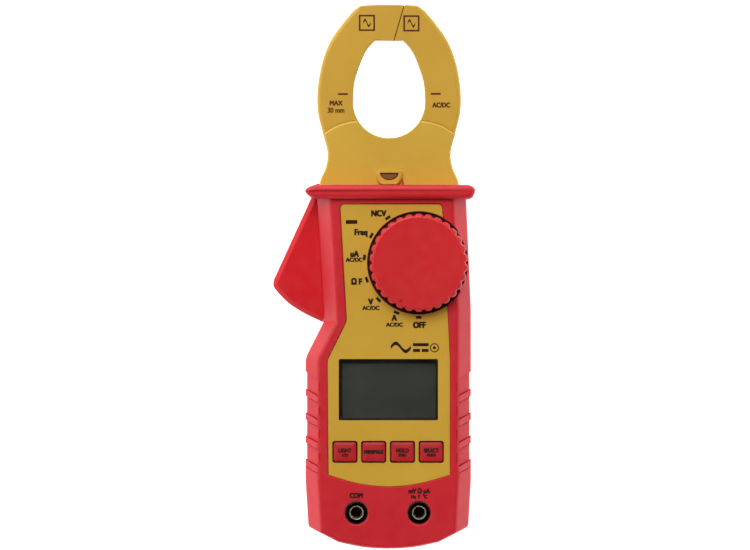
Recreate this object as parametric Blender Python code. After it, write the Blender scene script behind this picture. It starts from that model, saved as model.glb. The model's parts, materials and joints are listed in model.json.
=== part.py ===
"""Clamp meter lying on its back, face up.

Origin on the flat back of the case, on its centre line. +Y runs to the tip of the jaw, +X to the
right as the face is read, +Z out of the face. All sizes below are in millimetres and MM turns them
into metres. The left half of the jaw and the trigger swing about the pivot pin.
"""
import math

import bmesh
import bpy
from mathutils import Matrix

MM = 0.001
GAP = 0.3                      # clearance between pieces that touch or slide

# Case
SEAM = 17.0                    # height of the joint between the two covers
SEAM_LOW, SEAM_HIGH = SEAM - GAP / 2, SEAM + GAP / 2
FACE = 34.0                    # front face of the case
WALL = 2.2
CASE_TOP = 72.0                # upper end of the case, inside the finger guard
BEVEL_START = 26.5             # where the side bevels of the front cover begin
BEVEL = 5.3                    # how far they lean in
ROOF = 31.0                    # inner face of the front cover's wall
ROOF_JOIN = ROOF + 0.5         # how far posts reach into that wall
THROUGH_FACE = (20.0, 36.0)    # span of the tools that pierce the face
THROUGH_BACK = (-1.0, 5.0)     # span of the tools that pierce the back
HOLLOW_TOP = 69.5              # upper end of the room inside the covers
GUARD = (70.1, 76.0)           # finger guard, from and to along Y
GUARD_HEIGHT = 37.0
GUARD_EDGE = 1.4
PANEL_SEAT = 32.5
PANEL_TOP = 33.7

# Jaw
MIDDLE_X = 0.3                 # axis of symmetry of the jaw
PIVOT = (-12.5, 80.5)
HOLE = (0.3, 110.9)            # centre of the round lower end of the jaw opening
HOLE_RADIUS = 15.1
HOLE_TOP = 136.8
SPLIT_TOP = 151.6
SEAM_RADIUS = 22.5             # edge of the jaw base over each arm, about the pivot
ARM = (8.3, 25.7)              # thickness of the arms outside the base
ROOT = (10.0, 24.0)            # thickness of the arms inside the base
BASE_FRONT = (24.3, 26.8)
BASE_REAR = (7.2, 9.7)
ARM_WALL = 1.8
CORE = (13.6, 20.4)
PIN_RADIUS = 2.0
PIN_SPAN = (8.5, 25.5)
PIN_FIT = 0.06                 # play of the arm and the trigger on the pin
TONGUE = (14.5, 19.5)          # the trigger's tongue around the pin
LEVER_SWEEP = 63.8             # radius of the trigger's lower edge about the pivot
LEVER_WALL = 1.8
COIL_OUTER, COIL_INNER = (4.7, 4.9), (3.5, 3.8)    # half width and half height

# Face
KNOB = (12.7, 43.3)
KNOB_RADIUS = 20.6
KNOB_TOP = 40.0
KNOB_BOTTOM = 32.4
NOTCHES = 30
NOTCH_DEPTH = 0.8
POINTER_ANGLE = 245.0
WELL_RADIUS = 21.4
WELL_FLOOR = (29.5, 32.0)
WELL_FLOOR_RADIUS = 15.5
SHAFT_RADIUS = 3.0
SHAFT_HOLE = SHAFT_RADIUS + 0.6
LCD = (-20.8, -22.7, 20.8, 3.0)
LCD_LENS = (31.4, 32.4)
LCD_GLASS = (29.4, 30.7)
KEY_CENTRES = (-18.2, -6.15, 5.9, 17.95)
KEY_Y = -35.9
KEY_SIZE = (9.4, 8.0)
KEY_SLOT = (10.6, 9.2)
KEY_TOP = 34.6
KEY_FLANGE = (30.1, 30.7)
SOCKET_CENTRES = ((-13.4, -61.5), (12.9, -61.5))
SLEEVE_RADIUS = 4.9
INDICATOR = (-15.4, 60.4)
INDICATOR_SIZE = (4.8, 1.6)
TORCH = (0.4, 81.1)            # middle of the torch window's straight edge
TORCH_RADIUS = 3.9

# Inside
BOARD = (26.0, 27.6)
ON_BOARD = BOARD[1] + GAP      # foot of whatever stands on the board
UNDER_BOARD = BOARD[0] - GAP
CELL_RADIUS = 7.15
CELL_CENTRES = (-8.1, 8.1)
CELL_SPAN = (-46.0, 4.2)
CELL_HEIGHT = 10.4
DOOR = (-19.0, -52.0, 19.0, 11.0)
DOOR_THICKNESS = 1.9
DOOR_SCREW = (0.0, -56.6)
SCREWS = ((-25.0, 9.0), (26.0, 62.0), (-25.5, -62.0), (25.5, -62.0))
POST_RADIUS = 3.3
SHANK_HOLE = 1.75
BOARD_SCREWS = ((-21.0, -46.0), (21.0, -46.0))
BOARD_SHANK_HOLE = 1.2


# ---------------------------------------------------------------- outlines in the XY plane

def arc(centre, radius, start, end, steps):
    """Points along an arc, angles in degrees, both ends included."""
    angles = [math.radians(start + (end - start) * i / steps) for i in range(steps + 1)]
    return [(centre[0] + radius * math.cos(a), centre[1] + radius * math.sin(a)) for a in angles]


def smooth(points, steps):
    """A smooth curve through the points (Catmull-Rom), both ends included."""
    ends = [points[0]] + list(points) + [points[-1]]
    path = []
    for p0, p1, p2, p3 in zip(ends, ends[1:], ends[2:], ends[3:]):
        for i in range(steps):
            t = i / steps
            path.append(tuple(
                0.5 * (2 * b + (c - a) * t + (2 * a - 5 * b + 4 * c - d) * t ** 2
                       + (3 * b - a - 3 * c + d) * t ** 3)
                for a, b, c, d in zip(p0, p1, p2, p3)))
    return path + [points[-1]]


def mirrored(points):
    """The same outline on the other side of the jaw's axis, still anticlockwise."""
    return [(2 * MIDDLE_X - x, y) for x, y in reversed(points)]


def inset(outline, distance):
    """An anticlockwise outline with every side moved inwards, or outwards when negative."""
    moved = []
    for before, here, after in zip(outline[-1:] + outline[:-1], outline, outline[1:] + outline[:1]):
        normals = []
        for a, b in ((before, here), (here, after)):
            length = math.hypot(b[0] - a[0], b[1] - a[1])
            normals.append(((a[1] - b[1]) / length, (b[0] - a[0]) / length))
        (ux, uy), (vx, vy) = normals
        reach = distance / max(1 + ux * vx + uy * vy, 0.4)
        moved.append((here[0] + (ux + vx) * reach, here[1] + (uy + vy) * reach))
    return moved


def fillet(a, b, c, radius, steps=4):
    """Points that round off corner b of the corner a-b-c."""
    into = (b[0] - a[0], b[1] - a[1])
    out = (c[0] - b[0], c[1] - b[1])
    into_length, out_length = math.hypot(*into), math.hypot(*out)
    turn = math.atan2(into[0] * out[1] - into[1] * out[0], into[0] * out[0] + into[1] * out[1])
    reach = min(radius * abs(math.tan(turn / 2)), 0.45 * into_length, 0.45 * out_length)
    points = []
    for i in range(steps + 1):
        t = i / steps
        back, ahead = (1 - t) ** 2 * reach / into_length, t ** 2 * reach / out_length
        points.append((b[0] - into[0] * back + out[0] * ahead,
                       b[1] - into[1] * back + out[1] * ahead))
    return points


def rounded(corners, radius, steps=4):
    """A polygon whose corners are all rounded alike."""
    outline = []
    for a, b, c in zip(corners[-1:] + corners[:-1], corners, corners[1:] + corners[:1]):
        outline += fillet(a, b, c, radius, steps)
    return outline


def box_outline(low_x, low_y, high_x, high_y, radius=0.0):
    corners = [(low_x, low_y), (high_x, low_y), (high_x, high_y), (low_x, high_y)]
    return rounded(corners, radius) if radius else corners


def circle(centre, radius, steps):
    return arc(centre, radius, 0, 360, steps)[:-1]


def case_outline(side=0.0, bottom=0.0, top=CASE_TOP):
    """The case from the front: sides moved in by `side`, lower end up by `bottom`."""
    foot = smooth([(-21.0, -73.9), (-10.5, -76.0), (0.0, -76.6), (10.5, -76.0), (21.0, -73.9)], 3)
    corner_y = -67.4 - 0.516 * side        # the corners slide along the slanting lower edges
    right = [(33.6, corner_y), (34.7, -48.0), (34.7, 24.0), (32.6, top)]
    left = [(-30.0, top), (-26.9, 19.0), (-34.8, 3.5), (-34.8, -48.0), (-33.6, corner_y)]
    outline = foot + [(x - side, y) for x, y in right] + [(x + side, y) for x, y in left]
    return [(x, y + bottom if y < -60 else y) for x, y in outline]


def guard_outline():
    """The finger guard from the front: a bar with blunt ends that stands out at both sides."""
    low, high = GUARD
    return [(-32.5, low + 0.6), (-30.5, low), (33.4, low), (35.6, low + 1.4), (36.4, low + 3.3),
            (35.6, low + 5.0), (33.6, high), (-30.2, high), (-33.6, high - 1.1), (-34.9, high - 2.4),
            (-34.3, low + 2.1)]


def panel_outline(edge=0.0):
    """The recessed face panel, its left side following the waist of the case."""
    foot = smooth([(-24.9, -45.4), (-12.5, -48.9), (0.3, -50.2), (12.8, -48.9), (25.6, -45.4)], 3)
    corners = [(25.6, 2.5), (22.9, 60.0)]
    top = arc((20.8, 66.1), 1.5, 5, 90, 3) + arc((-18.4, 66.1), 1.5, 90, 175, 3)
    head, waist, hip, side = (-19.9, 66.0), (-17.2, 18.8), (-25.3, 2.4), (-25.3, -30.0)
    left = fillet(head, waist, hip, 6.0) + fillet(waist, hip, side, 5.0)
    return inset(foot + corners + top + left, edge)


def key_outline(x, size):
    return box_outline(x - size[0] / 2, KEY_Y - size[1] / 2, x + size[0] / 2, KEY_Y + size[1] / 2)


def indicator_outline(edge=0.0):
    x, y = INDICATOR
    half_x, half_y = INDICATOR_SIZE[0] / 2 - edge, INDICATOR_SIZE[1] / 2 - edge
    return box_outline(x - half_x, y - half_y, x + half_x, y + half_y)


def torch_outline(edge=0.0):
    """Window of the torch: straight along the top, round and a little flattened below."""
    bowl = arc(TORCH, TORCH_RADIUS, 180, 360, 10)
    return inset([(x, TORCH[1] + (y - TORCH[1]) * 0.8) for x, y in bowl], edge)


def neck_outline():
    """The jaw base: flared foot under the guard, arcs over the arms, round end of the opening."""
    foot_y = CASE_TOP - 1.0
    right = smooth([(29.6, 76.4), (28.7, 79.4), (26.7, 84.0), (26.0, 90.0), (27.6, 96.8)], 4)
    pivot_right = (2 * MIDDLE_X - PIVOT[0], PIVOT[1])
    seam = arc(pivot_right, SEAM_RADIUS, 49, 86, 6)
    half_hole = arc(HOLE, HOLE_RADIUS + 0.5, -31, -90, 8)
    outline = [(MIDDLE_X, foot_y), (29.6, foot_y)] + right + seam + half_hole
    return outline + mirrored(outline[1:-1])


def arm_outer():
    """Outer edge of the moving half, from its tip down to the jaw base."""
    crown = smooth([(-1.0, 152.0), (-6.0, 151.9), (-11.6, 151.5)], 2)
    flank = smooth([(-14.0, 150.2), (-19.5, 143.6), (-24.3, 136.6), (-27.7, 128.0), (-29.7, 117.0),
                    (-29.7, 107.0), (-27.6, 98.0), (-25.6, 90.0), (-26.2, 84.0), (-28.0, 79.6)], 3)
    return crown + flank


def opening_side():
    """Left edge of the jaw opening, from the lowest point up to the flat top."""
    bowl = arc(HOLE, HOLE_RADIUS, -93.2, -180, 11)
    flank = smooth([(-14.8, 110.9), (-14.4, 118.4), (-12.9, 124.0), (-10.8, 129.6), (-8.6, 133.6),
                    (-5.6, HOLE_TOP)], 3)
    return bowl + flank[1:]


def split_x(y, side):
    """X of one face of the slanting joint at the jaw's tip; side is -1 or +1."""
    return 2.35 + (y - HOLE_TOP) * 0.295 + side * 0.12


def moving_outline():
    """The moving half of the jaw, anticlockwise from the top of the split."""
    boss = arc(PIVOT, 7.6, -150, -12, 8)
    tip = [(split_x(HOLE_TOP, -1), HOLE_TOP), (split_x(SPLIT_TOP, -1), SPLIT_TOP)]
    return arm_outer() + boss + [(-0.55, 84.5)] + opening_side() + tip


def fixed_outline():
    """The fixed half of the jaw, anticlockwise from the foot of its split face."""
    outer = [point for point in mirrored(arm_outer()) if point[0] > 8.0]
    root = [(-0.15, 84.5), (0.6, 77.4), (28.4, 77.4)]
    opening = mirrored(opening_side())
    tip = [(split_x(SPLIT_TOP, 1), SPLIT_TOP), (split_x(HOLE_TOP, 1), HOLE_TOP)]
    low = [(-0.15, HOLE[1] - HOLE_RADIUS)]
    return root + outer + tip + opening[:-1] + low


def core_path(foot, tip):
    """Middle line of the magnetic core on the moving side, from its foot to its tip."""
    return smooth([foot, (-12.0, 92.2), (-19.2, 99.4), (-22.3, 110.0), (-21.3, 120.5),
                   (-17.6, 131.6), (-11.2, 140.9), tip], 4)


def coil_path():
    """The stretch of the core's middle line that carries the winding."""
    return core_path((-2.9, 89.9), (0.2, 143.8))[8:21]


def ribbon(path, half_width):
    """Outline of a flat strip laid along a path."""
    left, right = [], []
    for before, here, after in zip(path[:1] + path, path, path[1:] + path[-1:]):
        dx, dy = after[0] - before[0], after[1] - before[1]
        length = math.hypot(dx, dy)
        left.append((here[0] - dy / length * half_width, here[1] + dx / length * half_width))
        right.append((here[0] + dy / length * half_width, here[1] - dx / length * half_width))
    return right + left[::-1]


def trigger_outline():
    """Lever and its share of the finger guard, anticlockwise from the guard's top edge."""
    guard_end = [(-29.9, 76.6), (-33.6, 75.2), (-34.9, 73.7), (-34.3, 72.2), (-32.4, 70.7)]
    edge = smooth([(-48.1, 36.4), (-48.4, 34.2), (-47.4, 32.0), (-42.0, 26.4), (-34.9, 21.9),
                   (-27.9, 18.6)], 4)
    sweep = arc(PIVOT, LEVER_SWEEP, -103.2, -100, 2)
    inner = [(-22.5, 30.0), (-23.0, 60.0), (-16.0, 69.0), (-8.0, 70.6)]
    shoulder = arc(PIVOT, 8.3, -56, -148, 6)
    return guard_end + edge + sweep + inner + shoulder + [(-21.0, 76.2)]


def knob_outline(reduce=0.0):
    """Scalloped rim, drawn in by `reduce`: a shallow round notch between each two crests."""
    depths = (1.0, 0.45, 0.0, 0.45)
    outline = []
    for i in range(NOTCHES * len(depths)):
        angle = math.tau * i / (NOTCHES * len(depths))
        radius = KNOB_RADIUS - reduce - NOTCH_DEPTH * depths[i % len(depths)]
        outline.append((KNOB[0] + radius * math.cos(angle), KNOB[1] + radius * math.sin(angle)))
    return outline


# ---------------------------------------------------------------- solids

def make_object(name, bm):
    bmesh.ops.recalc_face_normals(bm, faces=bm.faces)
    mesh = bpy.data.meshes.new(name)
    bm.to_mesh(mesh)
    bm.free()
    obj = bpy.data.objects.new(name, mesh)
    bpy.context.scene.collection.objects.link(obj)
    return obj


def loft(name, rings):
    """A closed solid skinned over outlines of equal length; each ring is (outline, height)."""
    bm = bmesh.new()
    loops = [[bm.verts.new((x * MM, y * MM, z * MM)) for x, y in outline] for outline, z in rings]
    bm.faces.new(loops[0][::-1])
    for low, high in zip(loops, loops[1:]):
        for i in range(len(low)):
            j = (i + 1) % len(low)
            bm.faces.new((low[i], low[j], high[j], high[i]))
    bm.faces.new(loops[-1])
    return make_object(name, bm)


def prism(name, outline, low, high, chamfer_top=0.0, chamfer_bottom=0.0):
    rings = [(outline, low), (outline, high)]
    if chamfer_top:
        rings[1:] = [(outline, high - chamfer_top), (inset(outline, chamfer_top), high)]
    if chamfer_bottom:
        rings[:1] = [(inset(outline, chamfer_bottom), low), (outline, low + chamfer_bottom)]
    return loft(name, rings)


def turned(name, centre, profile, steps=24):
    """A solid of revolution about a vertical axis; profile is (radius, height), outside upwards."""
    return loft(name, [(circle(centre, radius, steps), height) for radius, height in profile])


def ring(name, centre, profile, steps=24):
    """A ring about a vertical axis; profile is a closed loop of (radius, height)."""
    bm = bmesh.new()
    loops = []
    for radius, height in profile:
        loops.append([bm.verts.new((x * MM, y * MM, height * MM))
                      for x, y in circle(centre, radius, steps)])
    for low_loop, high_loop in zip(loops, loops[1:] + loops[:1]):
        for i in range(steps):
            j = (i + 1) % steps
            bm.faces.new((low_loop[i], low_loop[j], high_loop[j], high_loop[i]))
    return make_object(name, bm)


def tube(name, centre, outer, inner, low, high, steps=24):
    """An upright tube, open at both ends."""
    return ring(name, centre, [(outer, low), (outer, high), (inner, high), (inner, low)], steps)


def sleeve(name, path, outer, inner, middle):
    """A rectangular tube along a path; outer and inner are (half width, half height)."""
    bm = bmesh.new()
    stations = []
    edges = [ribbon(path, outer[0]), ribbon(path, inner[0])]
    count = len(path)
    for i in range(count):
        station = []
        for edge, half_height in zip(edges, (outer[1], inner[1])):
            right, left = edge[i], edge[2 * count - 1 - i]
            square = [(right, -half_height), (left, -half_height), (left, half_height),
                      (right, half_height)]
            station.append([bm.verts.new((p[0] * MM, p[1] * MM, (middle + z) * MM))
                            for p, z in square])
        stations.append(station)
    for here, after in zip(stations, stations[1:]):
        for layer in (0, 1):
            for i in range(4):
                j = (i + 1) % 4
                bm.faces.new((here[layer][i], here[layer][j], after[layer][j], after[layer][i]))
    for outside, inside in (stations[0], stations[-1]):
        for i in range(4):
            j = (i + 1) % 4
            bm.faces.new((outside[i], outside[j], inside[j], inside[i]))
    return make_object(name, bm)


def boolean(target, tool, operation):
    modifier = target.modifiers.new(operation.lower(), "BOOLEAN")
    modifier.operation = operation
    modifier.object = tool
    tool.hide_render = True
    tool.display_type = "WIRE"


def cut(target, *tools):
    for tool in tools:
        boolean(target, tool, "DIFFERENCE")


def fuse(target, *tools):
    for tool in tools:
        boolean(target, tool, "UNION")


def colour_in(obj, colour, roughness, metallic):
    """Give a piece its own Principled material."""
    material = bpy.data.materials.new(obj.name)
    material.use_nodes = True
    shader = material.node_tree.nodes["Principled BSDF"]
    shader.inputs["Base Color"].default_value = (*colour, 1.0)
    shader.inputs["Roughness"].default_value = roughness
    shader.inputs["Metallic"].default_value = metallic
    obj.data.materials.append(material)


def paint(obj, colour, roughness=0.45, metallic=0.0):
    """Colour a solid and shade its round sides smooth."""
    colour_in(obj, colour, roughness, metallic)
    obj.data.shade_smooth()
    obj.data.set_sharp_from_angle(angle=math.radians(35))
    return obj


def hang(name, centre, *pieces):
    """Parent moving pieces to an empty on their joint's axis, without moving them."""
    axis = bpy.data.objects.new(name, None)
    axis.location = (centre[0] * MM, centre[1] * MM, centre[2] * MM)
    bpy.context.scene.collection.objects.link(axis)
    for piece in pieces:
        piece.parent = axis
        piece.matrix_parent_inverse = Matrix.Translation(axis.location).inverted()


RED = (0.55, 0.015, 0.03)
YELLOW = (0.58, 0.34, 0.04)
BLACK = (0.012, 0.012, 0.013)
STEEL = (0.6, 0.6, 0.62)
BRASS = (0.75, 0.55, 0.28)
COPPER = (0.7, 0.3, 0.12)
IRON = (0.16, 0.16, 0.17)
GREEN = (0.02, 0.16, 0.06)


# ---------------------------------------------------------------- case

def passage_cutters():
    """Room in the guard for the jaw base, and the slot in the case's left side for the lever."""
    jaw = prism("cut_passage", box_outline(-29.9, 66.0, 29.9, 80.0), BASE_REAR[0] - GAP,
                BASE_FRONT[1] + GAP)
    lever = prism("cut_lever_slot", [(-52.0, 18.2), (-24.0, 16.0), (-24.0, 80.0), (-52.0, 80.0)],
                  ROOT[0] - GAP, ROOT[1] + GAP)
    return jaw, lever


def front_cover(passage, lever_slot):
    shell = loft("front_cover", [
        (case_outline(), SEAM_HIGH), (case_outline(), BEVEL_START),
        (case_outline(BEVEL, 0.5), FACE - 0.5), (case_outline(BEVEL + 0.5, 1.2), FACE)])
    cut(shell, loft("cut_front_hollow", [
        (case_outline(WALL, WALL, HOLLOW_TOP), SEAM - 5.0),
        (case_outline(WALL, WALL, HOLLOW_TOP), BEVEL_START),
        (case_outline(BEVEL + WALL, WALL + 0.8, HOLLOW_TOP), ROOF)]))
    guard = prism("join_guard_front", guard_outline(), SEAM_HIGH, GUARD_HEIGHT, chamfer_top=GUARD_EDGE)
    floor = prism("join_well_floor", circle(KNOB, WELL_FLOOR_RADIUS, 40), WELL_FLOOR[0], ROOF_JOIN)
    fuse(shell, guard, floor)
    for i, centre in enumerate(SCREWS):
        fuse(shell, prism(f"join_pillar_{i}", circle(centre, POST_RADIUS, 16), SEAM + GAP, ROOF_JOIN))
    for i, centre in enumerate(BOARD_SCREWS):
        fuse(shell, prism(f"join_board_pillar_{i}", circle(centre, 2.6, 12), ON_BOARD, ROOF_JOIN))
    cut(shell, prism("cut_well", circle(KNOB, WELL_RADIUS, 48), WELL_FLOOR[1], FACE + 5.0),
        prism("cut_shaft_hole", circle(KNOB, SHAFT_HOLE, 20), *THROUGH_FACE),
        prism("cut_panel_seat", panel_outline(-GAP), PANEL_SEAT - GAP, FACE + 2.0),
        prism("cut_window", box_outline(*LCD), *THROUGH_FACE),
        prism("cut_indicator", indicator_outline(), *THROUGH_FACE), passage, lever_slot)
    for i, x in enumerate(KEY_CENTRES):
        cut(shell, prism(f"cut_key_{i}", key_outline(x, KEY_SLOT), *THROUGH_FACE))
    for i, centre in enumerate(SOCKET_CENTRES):
        cut(shell, prism(f"cut_socket_{i}", circle(centre, SLEEVE_RADIUS + GAP / 2, 32), *THROUGH_FACE))
    for i, centre in enumerate(SCREWS):
        cut(shell, prism(f"cut_thread_{i}", circle(centre, SHANK_HOLE, 12), 10.0, 27.0))
    for i, centre in enumerate(BOARD_SCREWS):
        cut(shell, prism(f"cut_board_thread_{i}", circle(centre, BOARD_SHANK_HOLE, 10), 20.0, 30.6))
    paint(shell, RED)


def bay_walls():
    """Four low walls around the batteries, from the front."""
    low_x, low_y, high_x, high_y = DOOR
    near, far = 0.8, 2.0
    return [box_outline(low_x - far, low_y + 0.2, low_x - near, high_y - 0.2),
            box_outline(high_x + near, low_y + 0.2, high_x + far, high_y - 0.2),
            box_outline(low_x - far, high_y + near, high_x + far, high_y + far),
            box_outline(low_x - far, low_y - far, high_x + far, low_y - near)]


def rear_cover(passage, lever_slot):
    shell = loft("rear_cover", [
        (case_outline(4.0, 3.0), 0.0), (case_outline(2.0, 1.2), 1.4), (case_outline(), 6.0),
        (case_outline(), SEAM_LOW)])
    cut(shell, loft("cut_rear_hollow", [
        (case_outline(5.0, 5.0, HOLLOW_TOP), 2.0), (case_outline(WALL, WALL, HOLLOW_TOP), 6.6),
        (case_outline(WALL, WALL, HOLLOW_TOP), SEAM + 5.0)]))
    fuse(shell, prism("join_guard_rear", guard_outline(), 0.0, SEAM_LOW, chamfer_bottom=GUARD_EDGE))
    for i, centre in enumerate(SCREWS):
        fuse(shell, prism(f"join_foot_{i}", circle(centre, 4.4, 16), 1.0, 7.0),
             prism(f"join_post_{i}", circle(centre, POST_RADIUS, 16), 6.0, SEAM_LOW))
    for i, outline in enumerate(bay_walls()):
        fuse(shell, prism(f"join_bay_{i}", outline, 1.0, 14.0))
    low_x, low_y, high_x, high_y = DOOR
    opening = box_outline(low_x - GAP, low_y - GAP, high_x + GAP, high_y + GAP)
    cut(shell, prism("cut_door", opening, *THROUGH_BACK), passage, lever_slot)
    fuse(shell, prism("join_door_post", circle(DOOR_SCREW, 3.4, 16), 1.0, 11.0))
    lip = box_outline(-4.2, low_y - 8.8, 4.2, low_y + 1.0, 1.5)
    cut(shell, prism("cut_door_lip", lip, THROUGH_BACK[0], DOOR_THICKNESS + 0.4),
        prism("cut_door_thread", circle(DOOR_SCREW, 1.6, 12), 0.0, 9.6))
    for i, centre in enumerate(SCREWS):
        cut(shell, prism(f"cut_head_{i}", circle(centre, 3.2, 16), THROUGH_BACK[0], 4.0),
            prism(f"cut_shank_{i}", circle(centre, SHANK_HOLE, 12), THROUGH_BACK[0], SEAM + 5.0))
    paint(shell, RED)


def face_panel():
    panel = prism("face_panel", panel_outline(), PANEL_SEAT, PANEL_TOP)
    cut(panel, prism("cut_panel_well", circle(KNOB, WELL_RADIUS + 0.25, 48), *THROUGH_FACE),
        prism("cut_panel_window", box_outline(*LCD), *THROUGH_FACE),
        prism("cut_panel_slot", indicator_outline(), *THROUGH_FACE))
    for i, x in enumerate(KEY_CENTRES):
        cut(panel, prism(f"cut_panel_key_{i}", key_outline(x, KEY_SLOT), *THROUGH_FACE))
    paint(panel, YELLOW)


def battery_door():
    low_y = DOOR[1]
    door = prism("battery_door", box_outline(*DOOR), 0.0, DOOR_THICKNESS)
    tab = box_outline(-3.9, low_y - 8.4, 3.9, low_y + 1.5, 1.5)
    fuse(door, prism("join_door_tab", tab, 0.0, DOOR_THICKNESS))
    cut(door, prism("cut_door_screw", circle(DOOR_SCREW, 1.7, 12), *THROUGH_BACK),
        prism("cut_door_head", circle(DOOR_SCREW, 2.9, 16), THROUGH_BACK[0], 1.0))
    paint(door, RED)
    profile = [(2.5, 0.2), (2.5, 0.7), (1.25, 0.75), (1.25, 8.8)]
    paint(turned("battery_door_screw", DOOR_SCREW, profile, 14), STEEL, 0.3, 1.0)


def case_screws():
    profile = [(2.8, 1.5), (2.8, 3.6), (1.4, 3.65), (1.4, 26.0)]
    for i, centre in enumerate(SCREWS):
        paint(turned(f"case_screw_{i + 1}", centre, profile, 14), STEEL, 0.3, 1.0)


# ---------------------------------------------------------------- face fittings

def keys():
    names = ("key_torch", "key_min_max", "key_hold", "key_select")
    flange = (KEY_SLOT[0] - 0.2, KEY_SLOT[1] + 1.6)
    for name, x in zip(names, KEY_CENTRES):
        key = prism(name, key_outline(x, KEY_SIZE), KEY_FLANGE[0] + 0.1, KEY_TOP, chamfer_top=0.5)
        fuse(key, prism(f"join_{name}", key_outline(x, flange), *KEY_FLANGE))
        hang(f"{name}_axis", (x, KEY_Y, KEY_TOP), paint(key, RED))
    mat = prism("keypad_mat", box_outline(-24.0, KEY_Y - 5.4, 24.0, KEY_Y + 5.4), ON_BOARD, 28.6)
    for i, x in enumerate(KEY_CENTRES):
        fuse(mat, loft(f"join_dome_{i}", [(circle((x, KEY_Y), 3.2, 14), 28.2),
                                          (circle((x, KEY_Y), 2.0, 14), 29.1)]))
    paint(mat, (0.5, 0.5, 0.5), 0.7)


def display():
    low_x, low_y, high_x, high_y = LCD
    lens = prism("lcd_window", inset(box_outline(*LCD), 0.25), *LCD_LENS)
    paint(lens, (0.3, 0.32, 0.3), 0.05)
    glass = prism("lcd_glass", inset(box_outline(*LCD), -0.6), *LCD_GLASS)
    paint(glass, (0.045, 0.05, 0.035), 0.15)
    under_glass = (ON_BOARD, LCD_GLASS[0] - GAP)
    lit = box_outline(low_x + 0.6, low_y, high_x - 0.6, high_y - 3.6)
    paint(prism("lcd_backlight", lit, *under_glass), (0.7, 0.72, 0.7), 0.4)
    strip = box_outline(low_x + 1.6, high_y - 3.0, high_x - 1.6, high_y - 1.0)
    paint(prism("zebra_strip", strip, *under_glass), (0.4, 0.2, 0.22), 0.8)


def sockets():
    shroud = [(4.7, 12.0), (4.7, 26.0), (6.4, 26.0), (6.4, 30.9), (SLEEVE_RADIUS, 30.9),
              (SLEEVE_RADIUS, 33.9), (4.5, 33.9), (4.5, 14.0), (3.6, 14.0), (3.6, 12.0)]
    contact = [(3.25, 9.0), (3.25, 30.5), (2.5, 30.5), (2.1, 29.9), (2.1, 9.0)]
    for side, centre in zip(("com", "input"), SOCKET_CENTRES):
        paint(ring(f"socket_sleeve_{side}", centre, shroud, 32), BLACK, 0.4)
        paint(ring(f"socket_contact_{side}", centre, contact, 24), BRASS, 0.25, 1.0)


def knob():
    inner = circle(KNOB, 17.6, NOTCHES * 4)
    body = loft("selector_knob", [
        (inner, 37.6), (inner, KNOB_BOTTOM), (knob_outline(), KNOB_BOTTOM),
        (knob_outline(), KNOB_TOP - 0.9), (knob_outline(0.9), KNOB_TOP)])
    angle = math.radians(POINTER_ANGLE)
    along, across = (math.cos(angle), math.sin(angle)), (-math.sin(angle), math.cos(angle))
    corners = [(KNOB[0] + along[0] * r + across[0] * w, KNOB[1] + along[1] * r + across[1] * w)
               for r, w in ((16.4, 0.0), (18.8, -1.0), (18.8, 1.0))]
    cut(body, prism("cut_pointer", corners, KNOB_TOP - 0.7, KNOB_TOP + 1.0))
    fuse(body, prism("join_shaft", circle(KNOB, SHAFT_RADIUS, 20), 24.9, 38.5))
    return paint(body, RED)


def selector_inside():
    """Switch under the knob: rotor and wiper turn with it inside the sprung detent ring."""
    rotor = tube("selector_rotor", KNOB, 12.6, SHAFT_RADIUS + GAP, 28.3, 29.2, 32)
    wiper = tube("selector_wiper", KNOB, 10.5, 8.5, 27.75, 28.0)
    teeth = []
    for i in range(60):
        angle = math.tau * i / 60
        radius = 13.6 if i % 4 else 14.3
        teeth.append((KNOB[0] + radius * math.cos(angle), KNOB[1] + radius * math.sin(angle)))
    ring = prism("detent_ring", circle(KNOB, 15.2, 60), ON_BOARD, 29.2)
    cut(ring, prism("cut_detents", teeth, *THROUGH_FACE))
    paint(ring, STEEL, 0.35, 1.0)
    return paint(rotor, (0.75, 0.75, 0.72), 0.5), paint(wiper, BRASS, 0.3, 1.0)


def indicator_and_torch():
    pipe = prism("indicator_light_pipe", indicator_outline(0.25), 29.2, 33.5)
    paint(pipe, (0.05, 0.03, 0.02), 0.2)
    lamp = prism("indicator_lamp", box_outline(INDICATOR[0] - 1.6, INDICATOR[1] - 0.6,
                                               INDICATOR[0] + 1.6, INDICATOR[1] + 0.6), ON_BOARD, 28.8)
    paint(lamp, (0.8, 0.1, 0.08), 0.3)
    lens = prism("torch_lens", torch_outline(0.25), 26.5, 28.6)
    paint(lens, (0.35, 0.18, 0.05), 0.15)
    lamp = prism("torch_lamp", box_outline(TORCH[0] - 1.6, TORCH[1] - 2.2, TORCH[0] + 1.6, TORCH[1] - 0.4),
                 24.6, 26.2)
    paint(lamp, (0.85, 0.85, 0.8), 0.3)


# ---------------------------------------------------------------- jaw

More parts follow.
